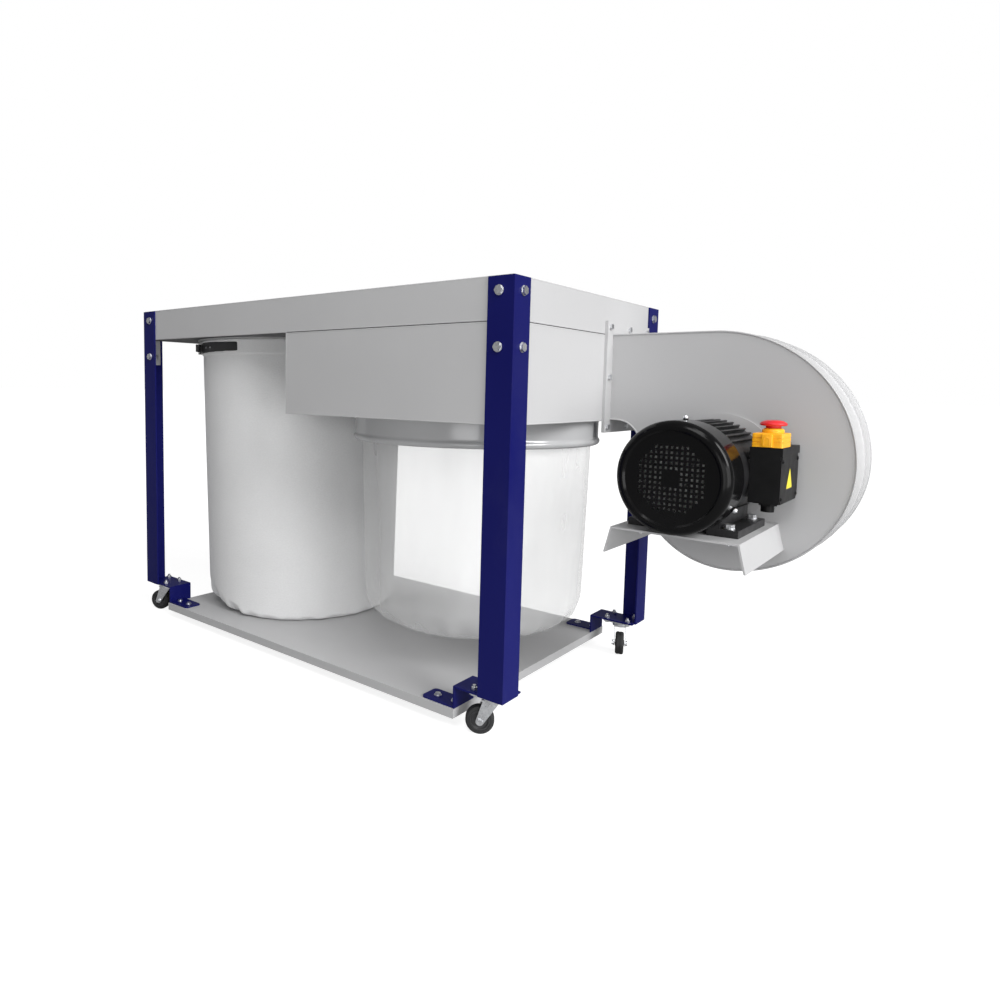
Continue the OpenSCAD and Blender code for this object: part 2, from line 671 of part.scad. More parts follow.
// finned tube with a box pad on its side and a foot along each lower side
module motor_frame() color([0.05, 0.05, 0.06]) {
    on_axis(motor_y1) difference() {
        union() {
            cylinder(h = motor_len, d = motor_d, $fn = 96);
            for (a = fin_angles) rotate([0, 0, -a]) translate([motor_d / 2 - 2, -1.25, 4])
                cube([fin_h + 2, 2.5, motor_len - 8]);
        }
        translate([0, 0, -1]) cylinder(h = motor_len + 2, r = stator_r, $fn = 96);
    }
    placed() difference() {
        union() {
            for (s = [-1, 1]) foot(s);
            translate([axis_x + motor_d / 2 - 22, tbox_y + 8, tbox_z + 8])
                cube([22, tbox[1] - 16, tbox[2] - 16]);
        }
        translate([axis_x, motor_y1, axis_z]) rotate([-90, 0, 0]) {
            translate([0, 0, -1]) cylinder(h = motor_len + 2, d = motor_d - 2, $fn = 96);
            translate([0, 0, motor_len]) cylinder(h = 2 * shield_t, d = motor_d + 1);
            translate([0, 0, -2 * shield_t]) cylinder(h = 2 * shield_t, d = cover_d + 1);
        }
        for (x = [-1, 1], y = foot_hole_y) translate([axis_x + x * foot_a / 2, y, shelf_z - 1])
            cylinder(h = 60, d = bolt_d + 2 * bolt_gap);
    }
}

// stepped cast foot on one side of the frame
module foot(s) translate([axis_x, foot_y0, shelf_z]) mirror([s < 0 ? 1 : 0, 0, 0])
    rotate([90, 0, 0]) linear_extrude(foot_b + 30)
        polygon([[40, 0], [foot_a / 2 + 17, 0], [foot_a / 2 + 17, foot_h], [foot_a / 2 - 11, foot_h],
                 [foot_a / 2 - 11, foot_h + 22], [40, foot_h + 22]]);

module stator() color([0.5, 0.36, 0.24]) {
    on_axis(motor_y1 + 30) difference() {
        cylinder(h = motor_len - 60, r = stator_r, $fn = 96);
        translate([0, 0, -1]) cylinder(h = motor_len, r = rotor_r + air_gap);
    }
    for (y = [motor_y1 + 12, motor_y1 + motor_len - 30]) on_axis(y) difference() {
        cylinder(h = 18, r = stator_r - 4);
        translate([0, 0, -1]) cylinder(h = 20, r = rotor_r + 4);
    }
}

// end shield towards the scroll, with the flange that bolts to its plate
module shield_drive() color([0.05, 0.05, 0.06]) {
    on_axis(motor_y0) difference() {
        union() {
            cylinder(h = shield_t, d = motor_d);
            cylinder(h = plate_y - 3 - motor_y0, r = 55);
        }
        translate([0, 0, -1]) cylinder(h = 60, r = shaft_d / 2 + run_clear);
    }
}

module shield_fan() color([0.05, 0.05, 0.06]) on_axis(fan_end_y) difference() {
    cylinder(h = shield_t, d = motor_d);
    translate([0, 0, -1]) cylinder(h = shield_t + 2, r = shaft_d / 2 + run_clear);
}

// grille holes on a square grid between two radii
grille_pitch = 8;
grille_hole = 4;
grille_rs = [14, 58];
grille_n = floor(grille_rs[1] / grille_pitch);
grille_points = [for (i = [-grille_n:grille_n], j = [-grille_n:grille_n])
    let (p = grille_pitch * [i, j]) if (norm(p) > grille_rs[0] && norm(p) + grille_hole < grille_rs[1]) p];

// pressed cover with a rounded rim, a recessed face and a square-hole grille
module fan_cover() color([0.04, 0.04, 0.05]) {
    wall = 1.5;
    rim = 14;
    r = cover_d / 2;
    on_axis(cover_end) {
        rotate_extrude($fn = 128) difference() {
            polygon(concat([[r, cover_len]], arc([r - rim, rim], rim, 0, -90, 8),
                [[r - rim - 3, 3], [grille_rs[1], 3], [grille_rs[1], 3 + wall], [r - rim - 2, 3 + wall]],
                arc([r - rim, rim], rim - wall, -90, 0, 8), [[r - wall, cover_len]]));
        }
        translate([0, 0, 3]) linear_extrude(wall) difference() {
            circle(grille_rs[1] + 0.5, $fn = 96);
            for (p = grille_points) translate(p) square(grille_hole, center = true);
        }
        for (a = [30, 150, 270]) rotate([0, 0, a]) translate([r - wall / 2, 0, cover_len - 8])
            rotate([0, 90, 0]) cylinder(h = 3, r = 4);
    }
    // the cover's rear edge seats on three short spacers on the end shield
    on_axis(fan_end_y) for (a = [30, 150, 270]) rotate([0, 0, a])
        translate([motor_d / 2, -6, 0]) cube([r - wall / 2 - motor_d / 2, 12, 5]);
}

// folded shelf welded to the scroll's plate, with two splayed side flanges
module motor_shelf() color([0.74, 0.74, 0.75]) placed()
    translate([axis_x, plate_y, shelf_z]) difference() {
        union() {
            translate([-shelf_w / 2, -shelf_len, -shelf_t]) cube([shelf_w, shelf_len, shelf_t]);
            for (s = [-1, 1]) mirror([s < 0 ? 1 : 0, 0, 0]) rotate([90, 0, 0]) linear_extrude(shelf_len)
                polygon([[shelf_w / 2 - shelf_t, 0], [shelf_w / 2, 0],
                         [shelf_w / 2 + shelf_lip[1], -shelf_lip[0]],
                         [shelf_w / 2 + shelf_lip[1] - shelf_t, -shelf_lip[0]]]);
        }
        for (x = [-1, 1], y = foot_hole_y) translate([x * foot_a / 2, y - plate_y, -shelf_t - 1])
            cylinder(h = shelf_t + 2, d = bolt_d + 2 * bolt_gap);
    }

module motor_bolts() color([0.8, 0.81, 0.82]) placed() for (x = [-1, 1], y = foot_hole_y)
    translate([axis_x + x * foot_a / 2, y, shelf_z + foot_h]) {
        bolt_head(7);
        translate([0, 0, -foot_h - shelf_t - 12]) cylinder(h = foot_h + shelf_t + 12, d = bolt_d);
        translate([0, 0, -foot_h - shelf_t - 7]) cylinder(h = 7, d = head_af / cos(30), $fn = 6);
    }

// ---- terminal box and switch ----

// hollow box on the motor's side, open at the top under the switch
module terminal_box() color([0.06, 0.06, 0.07]) placed() translate([tbox_x, tbox_y, tbox_z])
    difference() {
        cube(tbox);
        translate([3, 3, 3]) cube([tbox[0] - 6, tbox[1] - 6, tbox[2]]);
        for (y = [0, tbox[1]], z = [0, tbox[2]]) translate([tbox[0] - 1.5, y, z])
            rotate([0, 90, 0]) cylinder(h = 2, r = 6);
        translate([tbox[0] / 2, 30, -1]) cylinder(h = 5, d = 20);
    }

module cable_gland() color([0.08, 0.08, 0.09]) placed()
    translate([tbox_x + tbox[0] / 2, tbox_y + 30, tbox_z]) difference() {
        union() {
            cylinder(h = 8, d = 20);
            translate([0, 0, -6]) cylinder(h = 6, d = 24 / cos(30), $fn = 6);
            translate([0, 0, -16]) cylinder(h = 10, d = 20);
        }
        translate([0, 0, -17]) cylinder(h = 26, d = 9);
    }

// black lid of the terminal box with the two button guides and the cover's hinge ears
module switch_plinth() color([0.07, 0.07, 0.08]) placed() difference() {
    union() {
        translate([tbox_x - 1, tbox_y, tbox_top]) cube([tbox[0] + 2, tbox[1], plinth_h]);
        for (s = [-1, 1]) translate([switch_x + s * (flap[0] / 2 - 4) - 1.5, hinge_y - 3, plinth_top])
            cube([3, 6, hinge_z - plinth_top + 3]);
        translate([switch_x - flap[0] / 2 + 2.5, hinge_y, hinge_z]) rotate([0, 90, 0])
            cylinder(h = flap[0] - 5, r = hinge_r);
    }
    for (p = button_places) translate([p[0], p[1], tbox_top - 1])
        cylinder(h = plinth_h + 2, r = button_r + run_clear);
}
button_places = [[switch_x, switch_y + 4], [switch_x, tbox_y + 12]];

// yellow flap over the buttons, with a guide for the stop mushroom and a finger tab
module switch_cover() color([0.98, 0.68, 0.05]) placed() {
    top = flap_z + flap[2] - 4;
    difference() {
        union() {
            translate([switch_x - flap[0] / 2, tbox_y, flap_z])
                cube([flap[0], flap[1] - 8, flap[2] - 4]);
            translate([switch_x - flap[0] / 2 + 7.5, hinge_y, hinge_z]) rotate([0, 90, 0])
                cylinder(h = flap[0] - 15, r = hinge_r + 1.5);
            translate([switch_x - flap[0] / 2 + 7.5, tbox_y + flap[1] - 9, hinge_z - 1])
                cube([flap[0] - 15, hinge_y - tbox_y - flap[1] + 9, 4]);
            translate([switch_x, button_places[0][1], top]) cylinder(h = 7, r = 13);
            translate([switch_x - 7, tbox_y - 3, flap_z + 3]) cube([14, 4, flap[2] - 9]);
        }
        translate([switch_x - flap[0] / 2 + flap_t, tbox_y + flap_t, flap_z - 1])
            cube([flap[0] - 2 * flap_t, flap[1] - 8 - 2 * flap_t, flap[2] - 3 - flap_t]);
        translate([switch_x, hinge_y, hinge_z]) rotate([0, 90, 0])
            cylinder(h = flap[0], r = hinge_r + run_clear, center = true);
        translate([switch_x, button_places[0][1], flap_z - 1])
            cylinder(h = flap[2] + 20, r = stem_r + run_clear);
    }
}

// red mushroom with the stem that reaches the off button
module stop_button() color([0.86, 0.1, 0.12]) placed()
    translate([button_places[0][0], button_places[0][1], 0]) {
        stem_z = plinth_top + button_h + 0.6;
        head_z = flap_z + flap[2] + 3 + stop_travel + 1;
        translate([0, 0, stem_z]) cylinder(h = head_z - stem_z, r = stem_r);
        translate([0, 0, head_z]) rotate_extrude() polygon(concat(
            [[0, 0], [mushroom_d / 2 - 2, 0]],
            arc([mushroom_d / 2 - 3, 3], 3, -60, 60, 6), [[mushroom_d / 2 - 8, 8], [0, 9]]));
    }

// a round button in its guide, standing proud of the plinth
module push_button(i) translate([button_places[i][0], button_places[i][1], tbox_top + 3])
    cylinder(h = plinth_h - 3 + button_h, r = button_r);

module off_button() color([0.8, 0.1, 0.1]) placed() push_button(0);

module start_button() color([0.1, 0.55, 0.2]) placed() push_button(1);

canopy();
canopy_floor();
settling_box();
filter_collar();
bag_collar();
filter_bag();
clamp_band();
clamp_lever();
dust_bag();
snap_ring();
base_tray();
for (c = CORNERS) {
    leg(c[1], c[2]);
    bracket(c[1], c[2]);
    caster_plate(c[1], c[2]);
    caster_fork(c[1], c[2], c[3]);
    wheel(c[1], c[2], c[3]);
}
leg_bolts();
bracket_screws();
caster_bolts();
box_flange();
duct_flange();
flange_bolts();
scroll_front();
scroll_back();
scroll_band();
inlet_spigot();
impeller();
motor_shaft();
cooling_fan();
motor_frame();
stator();
shield_drive();
shield_fan();
fan_cover();
motor_shelf();
motor_bolts();
terminal_box();
cable_gland();
switch_plinth();
switch_cover();
stop_button();
start_button();
off_button();
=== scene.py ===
"""Two-bag dust collector on casters, put together piece by piece from the tray upwards.
Lengths are in metres; +X runs along the machine to the blower, -Y is the motor side."""

import json
import math

import bmesh
import bpy
import numpy as np
from mathutils import Matrix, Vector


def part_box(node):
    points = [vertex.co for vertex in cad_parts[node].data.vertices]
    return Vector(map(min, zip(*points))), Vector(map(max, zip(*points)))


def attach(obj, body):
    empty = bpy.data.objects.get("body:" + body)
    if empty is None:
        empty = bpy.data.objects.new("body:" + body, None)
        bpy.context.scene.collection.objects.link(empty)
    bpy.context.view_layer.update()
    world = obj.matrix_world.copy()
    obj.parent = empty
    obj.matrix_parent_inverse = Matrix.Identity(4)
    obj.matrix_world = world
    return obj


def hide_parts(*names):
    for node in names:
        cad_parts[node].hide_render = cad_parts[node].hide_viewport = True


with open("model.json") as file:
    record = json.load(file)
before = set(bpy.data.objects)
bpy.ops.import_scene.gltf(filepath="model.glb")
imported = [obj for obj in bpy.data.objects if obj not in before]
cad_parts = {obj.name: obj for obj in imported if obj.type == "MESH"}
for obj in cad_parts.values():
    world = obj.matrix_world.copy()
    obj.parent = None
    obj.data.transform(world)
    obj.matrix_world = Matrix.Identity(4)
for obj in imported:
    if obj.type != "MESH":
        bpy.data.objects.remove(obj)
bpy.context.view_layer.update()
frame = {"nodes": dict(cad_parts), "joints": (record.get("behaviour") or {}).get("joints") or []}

node = frame["nodes"]
joint = {j["name"]: j for j in frame["joints"]}

# ---- View, floor and light ----
# A studio: a pale floor without edges, a bright sky behind it, one broad key light from the
# blower's end, and soft boxes that fill the bays and draw the highlights on the black motor.
eye, yaw, pitch, roll = (0.94267, -1.27498, 0.59277), 0.70, -0.085, 0.017
ahead = np.array([-math.sin(yaw) * math.cos(pitch), math.cos(yaw) * math.cos(pitch),
                  math.sin(pitch)])
level = np.cross(ahead, (0, 0, 1))
level /= np.linalg.norm(level)
rise = np.cross(level, ahead)
right = level * math.cos(roll) + rise * math.sin(roll)
upward = rise * math.cos(roll) - level * math.sin(roll)
camera = bpy.data.objects.new("camera", bpy.data.cameras.new("camera"))
camera.data.sensor_width, camera.data.lens = 36.0, 25.666
camera.data.shift_x, camera.data.shift_y = 0.0944, -0.0513
placed = np.eye(4)
placed[:3, :3] = np.column_stack([right, upward, -ahead])
placed[:3, 3] = eye
camera.matrix_world = Matrix(placed.tolist())
camera.data.clip_end = 200
bpy.context.scene.collection.objects.link(camera)
bpy.context.scene.camera = camera
bpy.context.scene.view_settings.view_transform = "Standard"

sky = bpy.data.worlds.new("studio_sky")
sky.use_nodes = True
bpy.context.scene.world = sky
sky_light = sky.node_tree.nodes["Background"]
sky_light.inputs["Color"].default_value = (1.0, 1.0, 1.0, 1)
seen = sky.node_tree.nodes.new("ShaderNodeLightPath")
strength = sky.node_tree.nodes.new("ShaderNodeMapRange")
shed, shown = 0.30, 1.0
strength.inputs["To Min"].default_value, strength.inputs["To Max"].default_value = shed, shown
sky.node_tree.links.new(seen.outputs["Is Camera Ray"], strength.inputs["Value"])
sky.node_tree.links.new(strength.outputs["Result"], sky_light.inputs["Strength"])


def lamp(name, kind, energy, place, target, size):
    """A light at a place that shines along the straight line to its target."""
    light = bpy.data.lights.new(name, kind)
    light.energy = energy
    if kind == "SUN":
        light.angle = size
    else:
        light.size = size
    lit = bpy.data.objects.new(name, light)
    back = np.array(place, float) - np.array(target, float)
    back /= np.linalg.norm(back)
    across = np.cross((0, 0, 1), back)
    across /= np.linalg.norm(across)
    aim = np.eye(4)
    aim[:3, :3] = np.column_stack([across, np.cross(back, across), back])
    aim[:3, 3] = place
    lit.matrix_world = Matrix(aim.tolist())
    bpy.context.scene.collection.objects.link(lit)


lamp("key", "SUN", 3.2, (3.0, -0.1, 2.0), (0, 0, 0), 0.6)
lamp("top_box", "AREA", 26, (0.9, -1.6, 2.6), (0.55, -0.1, 0.45), 1.2)
lamp("low_box", "AREA", 26, (2.9, -1.0, 0.45), (0.0, 0.0, 0.3), 1.4)
lamp("fill_box", "AREA", 17, (1.5, -2.4, 0.30), (-0.1, 0.0, 0.3), 1.6)


def shader(name, metallic=0.0, **sockets):
    """A material whose Principled shader has the given words set on its own sockets."""
    material = bpy.data.materials.new(name)
    material.use_nodes = True
    tree = material.node_tree
    surface = tree.nodes["Principled BSDF"]
    surface.inputs["Metallic"].default_value = metallic
    for word, value in sockets.items():
        surface.inputs[word.replace("_", " ")].default_value = value
    return material, tree, surface


def pattern(tree, kind, scale, centre=(0, 0, 0), size=(1, 1, 1), uv=None, **options):
    """A grey pattern in the piece's own coordinates, moved to a centre and sized, or laid on
    the piece's named UV map."""
    if uv is None:
        source = tree.nodes.new("ShaderNodeTexCoord").outputs["Object"]
    else:
        marks = tree.nodes.new("ShaderNodeUVMap")
        marks.uv_map = uv
        source = marks.outputs["UV"]
    mapping = tree.nodes.new("ShaderNodeMapping")
    mapping.vector_type = "TEXTURE"
    mapping.inputs["Location"].default_value = centre
    mapping.inputs["Scale"].default_value = size
    texture = tree.nodes.new(kind)
    texture.inputs["Scale"].default_value = scale
    for word, value in options.items():
        if hasattr(texture, word):
            setattr(texture, word, value)
        else:
            texture.inputs[word.replace("_", " ")].default_value = value
    tree.links.new(source, mapping.inputs["Vector"])
    tree.links.new(mapping.outputs["Vector"], texture.inputs["Vector"])
    return texture.outputs[0]


def tones(tree, grey, low, high, start=0.3, end=0.7):
    """Two colours blended where the grey pattern climbs from start to end."""
    ramp = tree.nodes.new("ShaderNodeValToRGB")
    for stop, place, colour in zip(ramp.color_ramp.elements, (start, end), (low, high)):
        stop.position, stop.color = place, (*colour, 1)
    tree.links.new(grey, ramp.inputs["Fac"])
    return ramp.outputs["Color"]


def spread(tree, grey, low, high, start=0.3, end=0.7):
    """A number that goes from low to high where the grey pattern climbs from start to end."""
    run = tree.nodes.new("ShaderNodeMapRange")
    for word, value in zip(("From Min", "From Max", "To Min", "To Max"), (start, end, low, high)):
        run.inputs[word].default_value = value
    tree.links.new(grey, run.inputs["Value"])
    return run.outputs["Result"]


def relief(tree, grey, depth, under=None):
    """A bump of the given depth in metres, laid over another bump where there is one."""
    bump = tree.nodes.new("ShaderNodeBump")
    bump.inputs["Strength"].default_value = 1.0
    bump.inputs["Distance"].default_value = depth
    tree.links.new(grey, bump.inputs["Height"])
    if under is not None:
        tree.links.new(under, bump.inputs["Normal"])
    return bump.outputs["Normal"]


def mixed(tree, share, first, second):
    """First colour where the share is 0 and second where it is 1."""
    mix = tree.nodes.new("ShaderNodeMix")
    mix.data_type = "RGBA"
    tree.links.new(share, mix.inputs[0])
    for socket, value in ((mix.inputs[6], first), (mix.inputs[7], second)):
        if isinstance(value, tuple):
            socket.default_value = (*value, 1)
        else:
            tree.links.new(value, socket)
    return mix.outputs[2]


pale, paler, half_side, floor_glow = (0.32, 0.32, 0.32), (0.35, 0.35, 0.35), 60, 0.85
floor_mesh = bpy.data.meshes.new("floor")
rim = [(x * half_side, y * half_side, 0) for x, y in ((-1, -1), (1, -1), (1, 1), (-1, 1))]
floor_mesh.from_pydata(rim, [], [(0, 1, 2, 3)])
floor = bpy.data.objects.new("floor", floor_mesh)
floor_paint, tree, surface = shader("floor_paint", Roughness=0.9)
surface.inputs["Emission Color"].default_value = (1, 1, 1, 1)
seen = tree.nodes.new("ShaderNodeLightPath").outputs["Is Camera Ray"]
glow = spread(tree, seen, 0.0, floor_glow, 0.0, 1.0)
tree.links.new(glow, surface.inputs["Emission Strength"])
floor_tone = tones(tree, pattern(tree, "ShaderNodeTexNoise", 3.0), pale, paler)
tree.links.new(floor_tone, surface.inputs["Base Color"])
floor_mesh.materials.append(floor_paint)
bpy.context.scene.collection.objects.link(floor)


# ---- Base tray ----
# A shallow tray of 1.5 mm steel with its edges folded down, sprayed light grey. It carries the
# felt bag and stands between the four cranked brackets.
dust_grey = 0.62


def sprayed(name, low, high, rough=(0.30, 0.44), peel=0.00005, wave=0.0006, dust=0.25, **sockets):
    """Powder coat: two tones on a broad drift, fine orange peel, and the slight waviness of thin
    sheet as a long bump; smears of dust dull it and lighten it a little."""
    material, tree, surface = shader(name, **sockets)
    drift = pattern(tree, "ShaderNodeTexNoise", 2.1, Detail=3.0)
    smear = pattern(tree, "ShaderNodeTexNoise", 9.0, Detail=7.0, Roughness=0.68, size=(1, 1, 1.6))
    skin = tones(tree, drift, low, high)
    dusty = tuple(0.5 * (c + dust_grey) for c in high)
    surface_tone = mixed(tree, spread(tree, smear, 0.0, dust, 0.52, 0.80), skin, dusty)
    fleck = pattern(tree, "ShaderNodeTexNoise", 820.0, Detail=1.0)
    tree.links.new(surface_tone, surface.inputs["Base Color"])
    tree.links.new(spread(tree, smear, *rough), surface.inputs["Roughness"])
    sheet = relief(tree, pattern(tree, "ShaderNodeTexNoise", 3.4, Detail=1.0), wave)
    tree.links.new(relief(tree, fleck, peel, sheet), surface.inputs["Normal"])
    return material


def wears(material, slot, *names):
    """The named CAD pieces take this material in every slot of their own."""
    for name in names:
        mesh = node[name].data
        if not mesh.materials:
            mesh.materials.append(material)
        for i in range(len(mesh.materials)):
            mesh.materials[i] = material


grey_paint = sprayed("grey_paint", (0.46, 0.46, 0.465), (0.50, 0.50, 0.505), dust=0.08)
wears(grey_paint, "grey_paint", "base_tray")

# ---- Brackets and legs ----
# Cranked 3 mm plates tie the tray to four 50 mm steel angles. All of them are sprayed a deep
# navy with a soft sheen.
corners = ("front_left", "front_right", "back_left", "back_right")
navy_paint = sprayed("navy_paint", (0.0045, 0.0055, 0.085), (0.008, 0.0095, 0.110), (0.36, 0.50),
                     peel=0.00004, wave=0.0003, dust=0.02, Specular_IOR_Level=0.10)
wears(navy_paint, "navy_paint", *["bracket_" + c for c in corners], *["leg_" + c for c in corners])


# ---- Casters ----
# Swivel casters on square plates: bright zinc-plated pressings, and wheels with a black rubber
# tyre on a nylon hub. Each wheel turns on its axle, each fork on its kingpin.
def plated(name, low, high, rough=(0.22, 0.42), grain=260.0):
    """Zinc plate: a bright metal whose small crystals differ a little in tone and gloss, with
    fine drawn scratches as a bump."""
    material, tree, surface = shader(name, 1.0)
    crystals = pattern(tree, "ShaderNodeTexVoronoi", grain, Randomness=1.0)
    haze = pattern(tree, "ShaderNodeTexNoise", 60.0, Detail=5.0)
    drawn = pattern(tree, "ShaderNodeTexNoise", 500.0, size=(1, 1, 0.08), Detail=2.0)
    tree.links.new(tones(tree, crystals, low, high, 0.0, 0.9), surface.inputs["Base Color"])
    tree.links.new(spread(tree, haze, *rough), surface.inputs["Roughness"])
    tree.links.new(relief(tree, drawn, 0.00006), surface.inputs["Normal"])
    return material


same_point, no_length = 2e-6, 1e-7


def skins(name, grids, material, body, stands_for=(), crease=0.6):
    """One piece from several grids of points. A grid is an array of rows of points with a word
    for how it closes: 'ring' joins each row's end to its start, 'torus' joins the last row to
    the first as well, and 'open' joins neither. Doubled points at poles and seams are merged."""
    points, quads, count = [], [], 0
    for rows, closing in grids:
        rows = np.asarray(rows, float)
        a, b = rows.shape[:2]
        i = np.arange(a if closing == "torus" else a - 1)[:, None]
        j = np.arange(b - 1 if closing == "open" else b)[None, :]
        i1, j1 = (i + 1) % a, (j + 1) % b
        four = np.stack([i * b + j, i * b + j1, i1 * b + j1, i1 * b + j], -1)
        quads.append(four.reshape(-1, 4) + count)
        points.append(rows.reshape(-1, 3))
        count += a * b
    points, quads = np.concatenate(points), np.concatenate(quads)
    mesh = bpy.data.meshes.new(name)
    mesh.vertices.add(len(points))
    mesh.vertices.foreach_set("co", points.ravel())
    mesh.loops.add(quads.size)
    mesh.loops.foreach_set("vertex_index", quads.ravel())
    mesh.polygons.add(len(quads))
    mesh.polygons.foreach_set("loop_start", np.arange(0, quads.size, 4))
    mesh.update(calc_edges=True)
    mesh.validate()
    whole = bmesh.new()
    whole.from_mesh(mesh)
    bmesh.ops.remove_doubles(whole, verts=whole.verts, dist=same_point)
    bmesh.ops.dissolve_degenerate(whole, edges=whole.edges, dist=no_length)
    bmesh.ops.recalc_face_normals(whole, faces=whole.faces)
    whole.to_mesh(mesh)
    whole.free()
    mesh.polygons.foreach_set("use_smooth", np.ones(len(mesh.polygons), bool))
    mesh.set_sharp_from_angle(angle=crease)
    mesh.materials.append(material)
    piece = bpy.data.objects.new(name, mesh)
    bpy.context.scene.collection.objects.link(piece)
    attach(piece, body)
    if stands_for:
        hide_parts(*stands_for)
    return piece


def turned(profile, centre, axis, steps=96):
    """Each (radius, height) of the profile becomes a circle of that radius about the axis line,
    at that height along it from the centre."""
    profile, axis = np.asarray(profile, float), np.asarray(axis, float)
    axis = axis / np.linalg.norm(axis)
    side = np.cross(axis, (0, 0, 1) if abs(axis[2]) < 0.9 else (1, 0, 0))
    side /= np.linalg.norm(side)
    other = np.cross(axis, side)
    t = np.linspace(0, 2 * np.pi, steps, endpoint=False)
    spoke = np.cos(t)[:, None] * side + np.sin(t)[:, None] * other
    across, up = profile[:, 0, None, None] * spoke, profile[:, 1, None, None] * axis
    return np.asarray(centre, float) + across + up


def bend(centre, radius, start, end, steps=8):
    """Points of a circle's arc between two angles in degrees."""
    t = np.radians(np.linspace(start, end, steps))
    return np.column_stack([centre[0] + radius * np.cos(t), centre[1] + radius * np.sin(t)])


def moulded(name, low, high, rough, grain=900.0, depth=0.00006, **sockets):
    """Rubber or plastic: two close tones on a cloudy noise, and a fine spark-eroded grain."""
    material, tree, surface = shader(name, **sockets)
    cloud = pattern(tree, "ShaderNodeTexNoise", 26.0, Detail=6.0, Roughness=0.6)
    spark = pattern(tree, "ShaderNodeTexVoronoi", grain, Randomness=1.0)
    tree.links.new(tones(tree, cloud, low, high), surface.inputs["Base Color"])
    tree.links.new(spread(tree, cloud, *rough), surface.inputs["Roughness"])
    tree.links.new(relief(tree, spark, depth), surface.inputs["Normal"])
    return material


zinc = plated("zinc", (0.62, 0.63, 0.65), (0.80, 0.81, 0.83))
tyre_rubber = moulded("tyre_rubber", (0.010, 0.010, 0.011), (0.022, 0.022, 0.023), (0.55, 0.8),
                      600.0)
hub_nylon = moulded("hub_nylon", (0.03, 0.03, 0.032), (0.05, 0.05, 0.053), (0.35, 0.5), 700.0)
wears(zinc, "zinc", *["caster_plate_" + c for c in corners], *["caster_fork_" + c for c in corners])
tyre_r, tyre_half, tyre_round, rim_r = 0.025, 0.009, 0.0045, 0.0175
half_web = [(0.00305, -0.0100), (0.0066, -0.0100), (0.0070, -0.0096), (0.0070, -0.0060),
            (0.0080, -0.0052), (0.0140, -0.0052), (0.0150, -0.0060), (0.0152, -0.0083),
            (0.0157, -0.0088), (0.0170, -0.0088), (rim_r, -0.0082)]
web = half_web + [(r, -h) for r, h in reversed(half_web)]
for c in corners:
    middle, axle = joint["roll_" + c]["pos_m"], joint["roll_" + c]["axis"]
    tread = np.concatenate([
        [(rim_r, -tyre_half + 0.001), (rim_r + 0.0006, -tyre_half)],
        bend((tyre_r - tyre_round, tyre_round - tyre_half), tyre_round, -90, 0),
        [(tyre_r, -0.0012), (tyre_r - 0.0006, -0.0008), (tyre_r - 0.0006, 0.0008),
         (tyre_r, 0.0012)],
        bend((tyre_r - tyre_round, tyre_half - tyre_round), tyre_round, 0, 90),
        [(rim_r + 0.0006, tyre_half), (rim_r, tyre_half - 0.001)],
    ])
    skins("tyre_" + c, [(turned(tread, middle, axle), "torus")], tyre_rubber, "wheel_" + c,
          ("wheel_" + c,))
    skins("hub_" + c, [(turned(web, middle, axle), "torus")], hub_nylon, "wheel_" + c)

# ---- Canopy and settling box ----
# A folded lid over both bays, the floor of the filter bay, and the deep box over the dust bag:
# 1.5 mm sheet in the tray's grey, with round folds. A sealed joint runs round the box, and the
# floor of the filter bay is painted near black as painted shade, for the deep shade under the lid.
def rounded_section(width, height, radius, steps=5):
    """A rectangle centred on the origin with its four corners rounded by quarter circles."""
    w, h = width / 2 - radius, height / 2 - radius
    middles = ((w, h), (-w, h), (-w, -h), (w, -h))
    return np.concatenate([bend(middle, radius, 90 * k, 90 * k + 90, steps)
                           for k, middle in enumerate(middles)])


def edging(path, section, level, plane=(0, 2, 1), closed=False):
    """A closed section of (outward, across) points carried along a flat path, square to it at
    each point. Plane names the path's two axes and the one across them, where the path's level
    is. An open path is closed at each end by a last ring shrunk to its middle."""
    way = np.roll(path, -1, 0) - np.roll(path, 1, 0) if closed else np.gradient(path, axis=0)
    way /= np.linalg.norm(way, axis=1)[:, None]
    out = np.column_stack([-way[:, 1], way[:, 0]])
    rows = np.zeros((len(path), len(section), 3))
    rows[..., list(plane[:2])] = path[:, None, :] + section[None, :, 0, None] * out[:, None, :]
    rows[..., plane[2]] = level + section[:, 1]
    if closed:
        return rows
    return np.concatenate([rows[:1].mean(1, keepdims=True) + 0 * rows[:1], rows,
                           rows[-1:].mean(1, keepdims=True) + 0 * rows[-1:]])


wears(grey_paint, "grey_paint", "canopy", "settling_box", "box_flange", "duct_flange")
# Painted shade: the filter bay's floor gets a near-black paint that stands in for the shade under
# the lid.
painted_shade_paint = sprayed("painted_shade_paint", (0.055, 0.055, 0.057), (0.075, 0.075, 0.078), (0.5, 0.7),
                       dust=0.1)
wears(painted_shade_paint, "grey_paint", "canopy_floor")
lid_lo, lid_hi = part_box("canopy")
bay_lo, bay_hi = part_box("settling_box")
fold_w, fold_r, corner_r, proud = 0.0026, 0.0012, 0.0015, 0.0003
fold_in, joint_gap, upright_in = 0.0012, 0.0022, 0.0010
fold = rounded_section(fold_w, fold_w, fold_r)
lid_middle, lid_size = (np.array(lid_lo) + lid_hi)[:2] / 2, (np.array(lid_hi) - lid_lo)[:2]
bay_middle, bay_size = (np.array(bay_lo) + bay_hi)[:2] / 2, (np.array(bay_hi) - bay_lo)[:2]
lid_way = rounded_section(*(lid_size + 2 * proud - fold_w), corner_r) + lid_middle
bay_way = rounded_section(*(bay_size + 2 * proud - fold_w), corner_r) + bay_middle
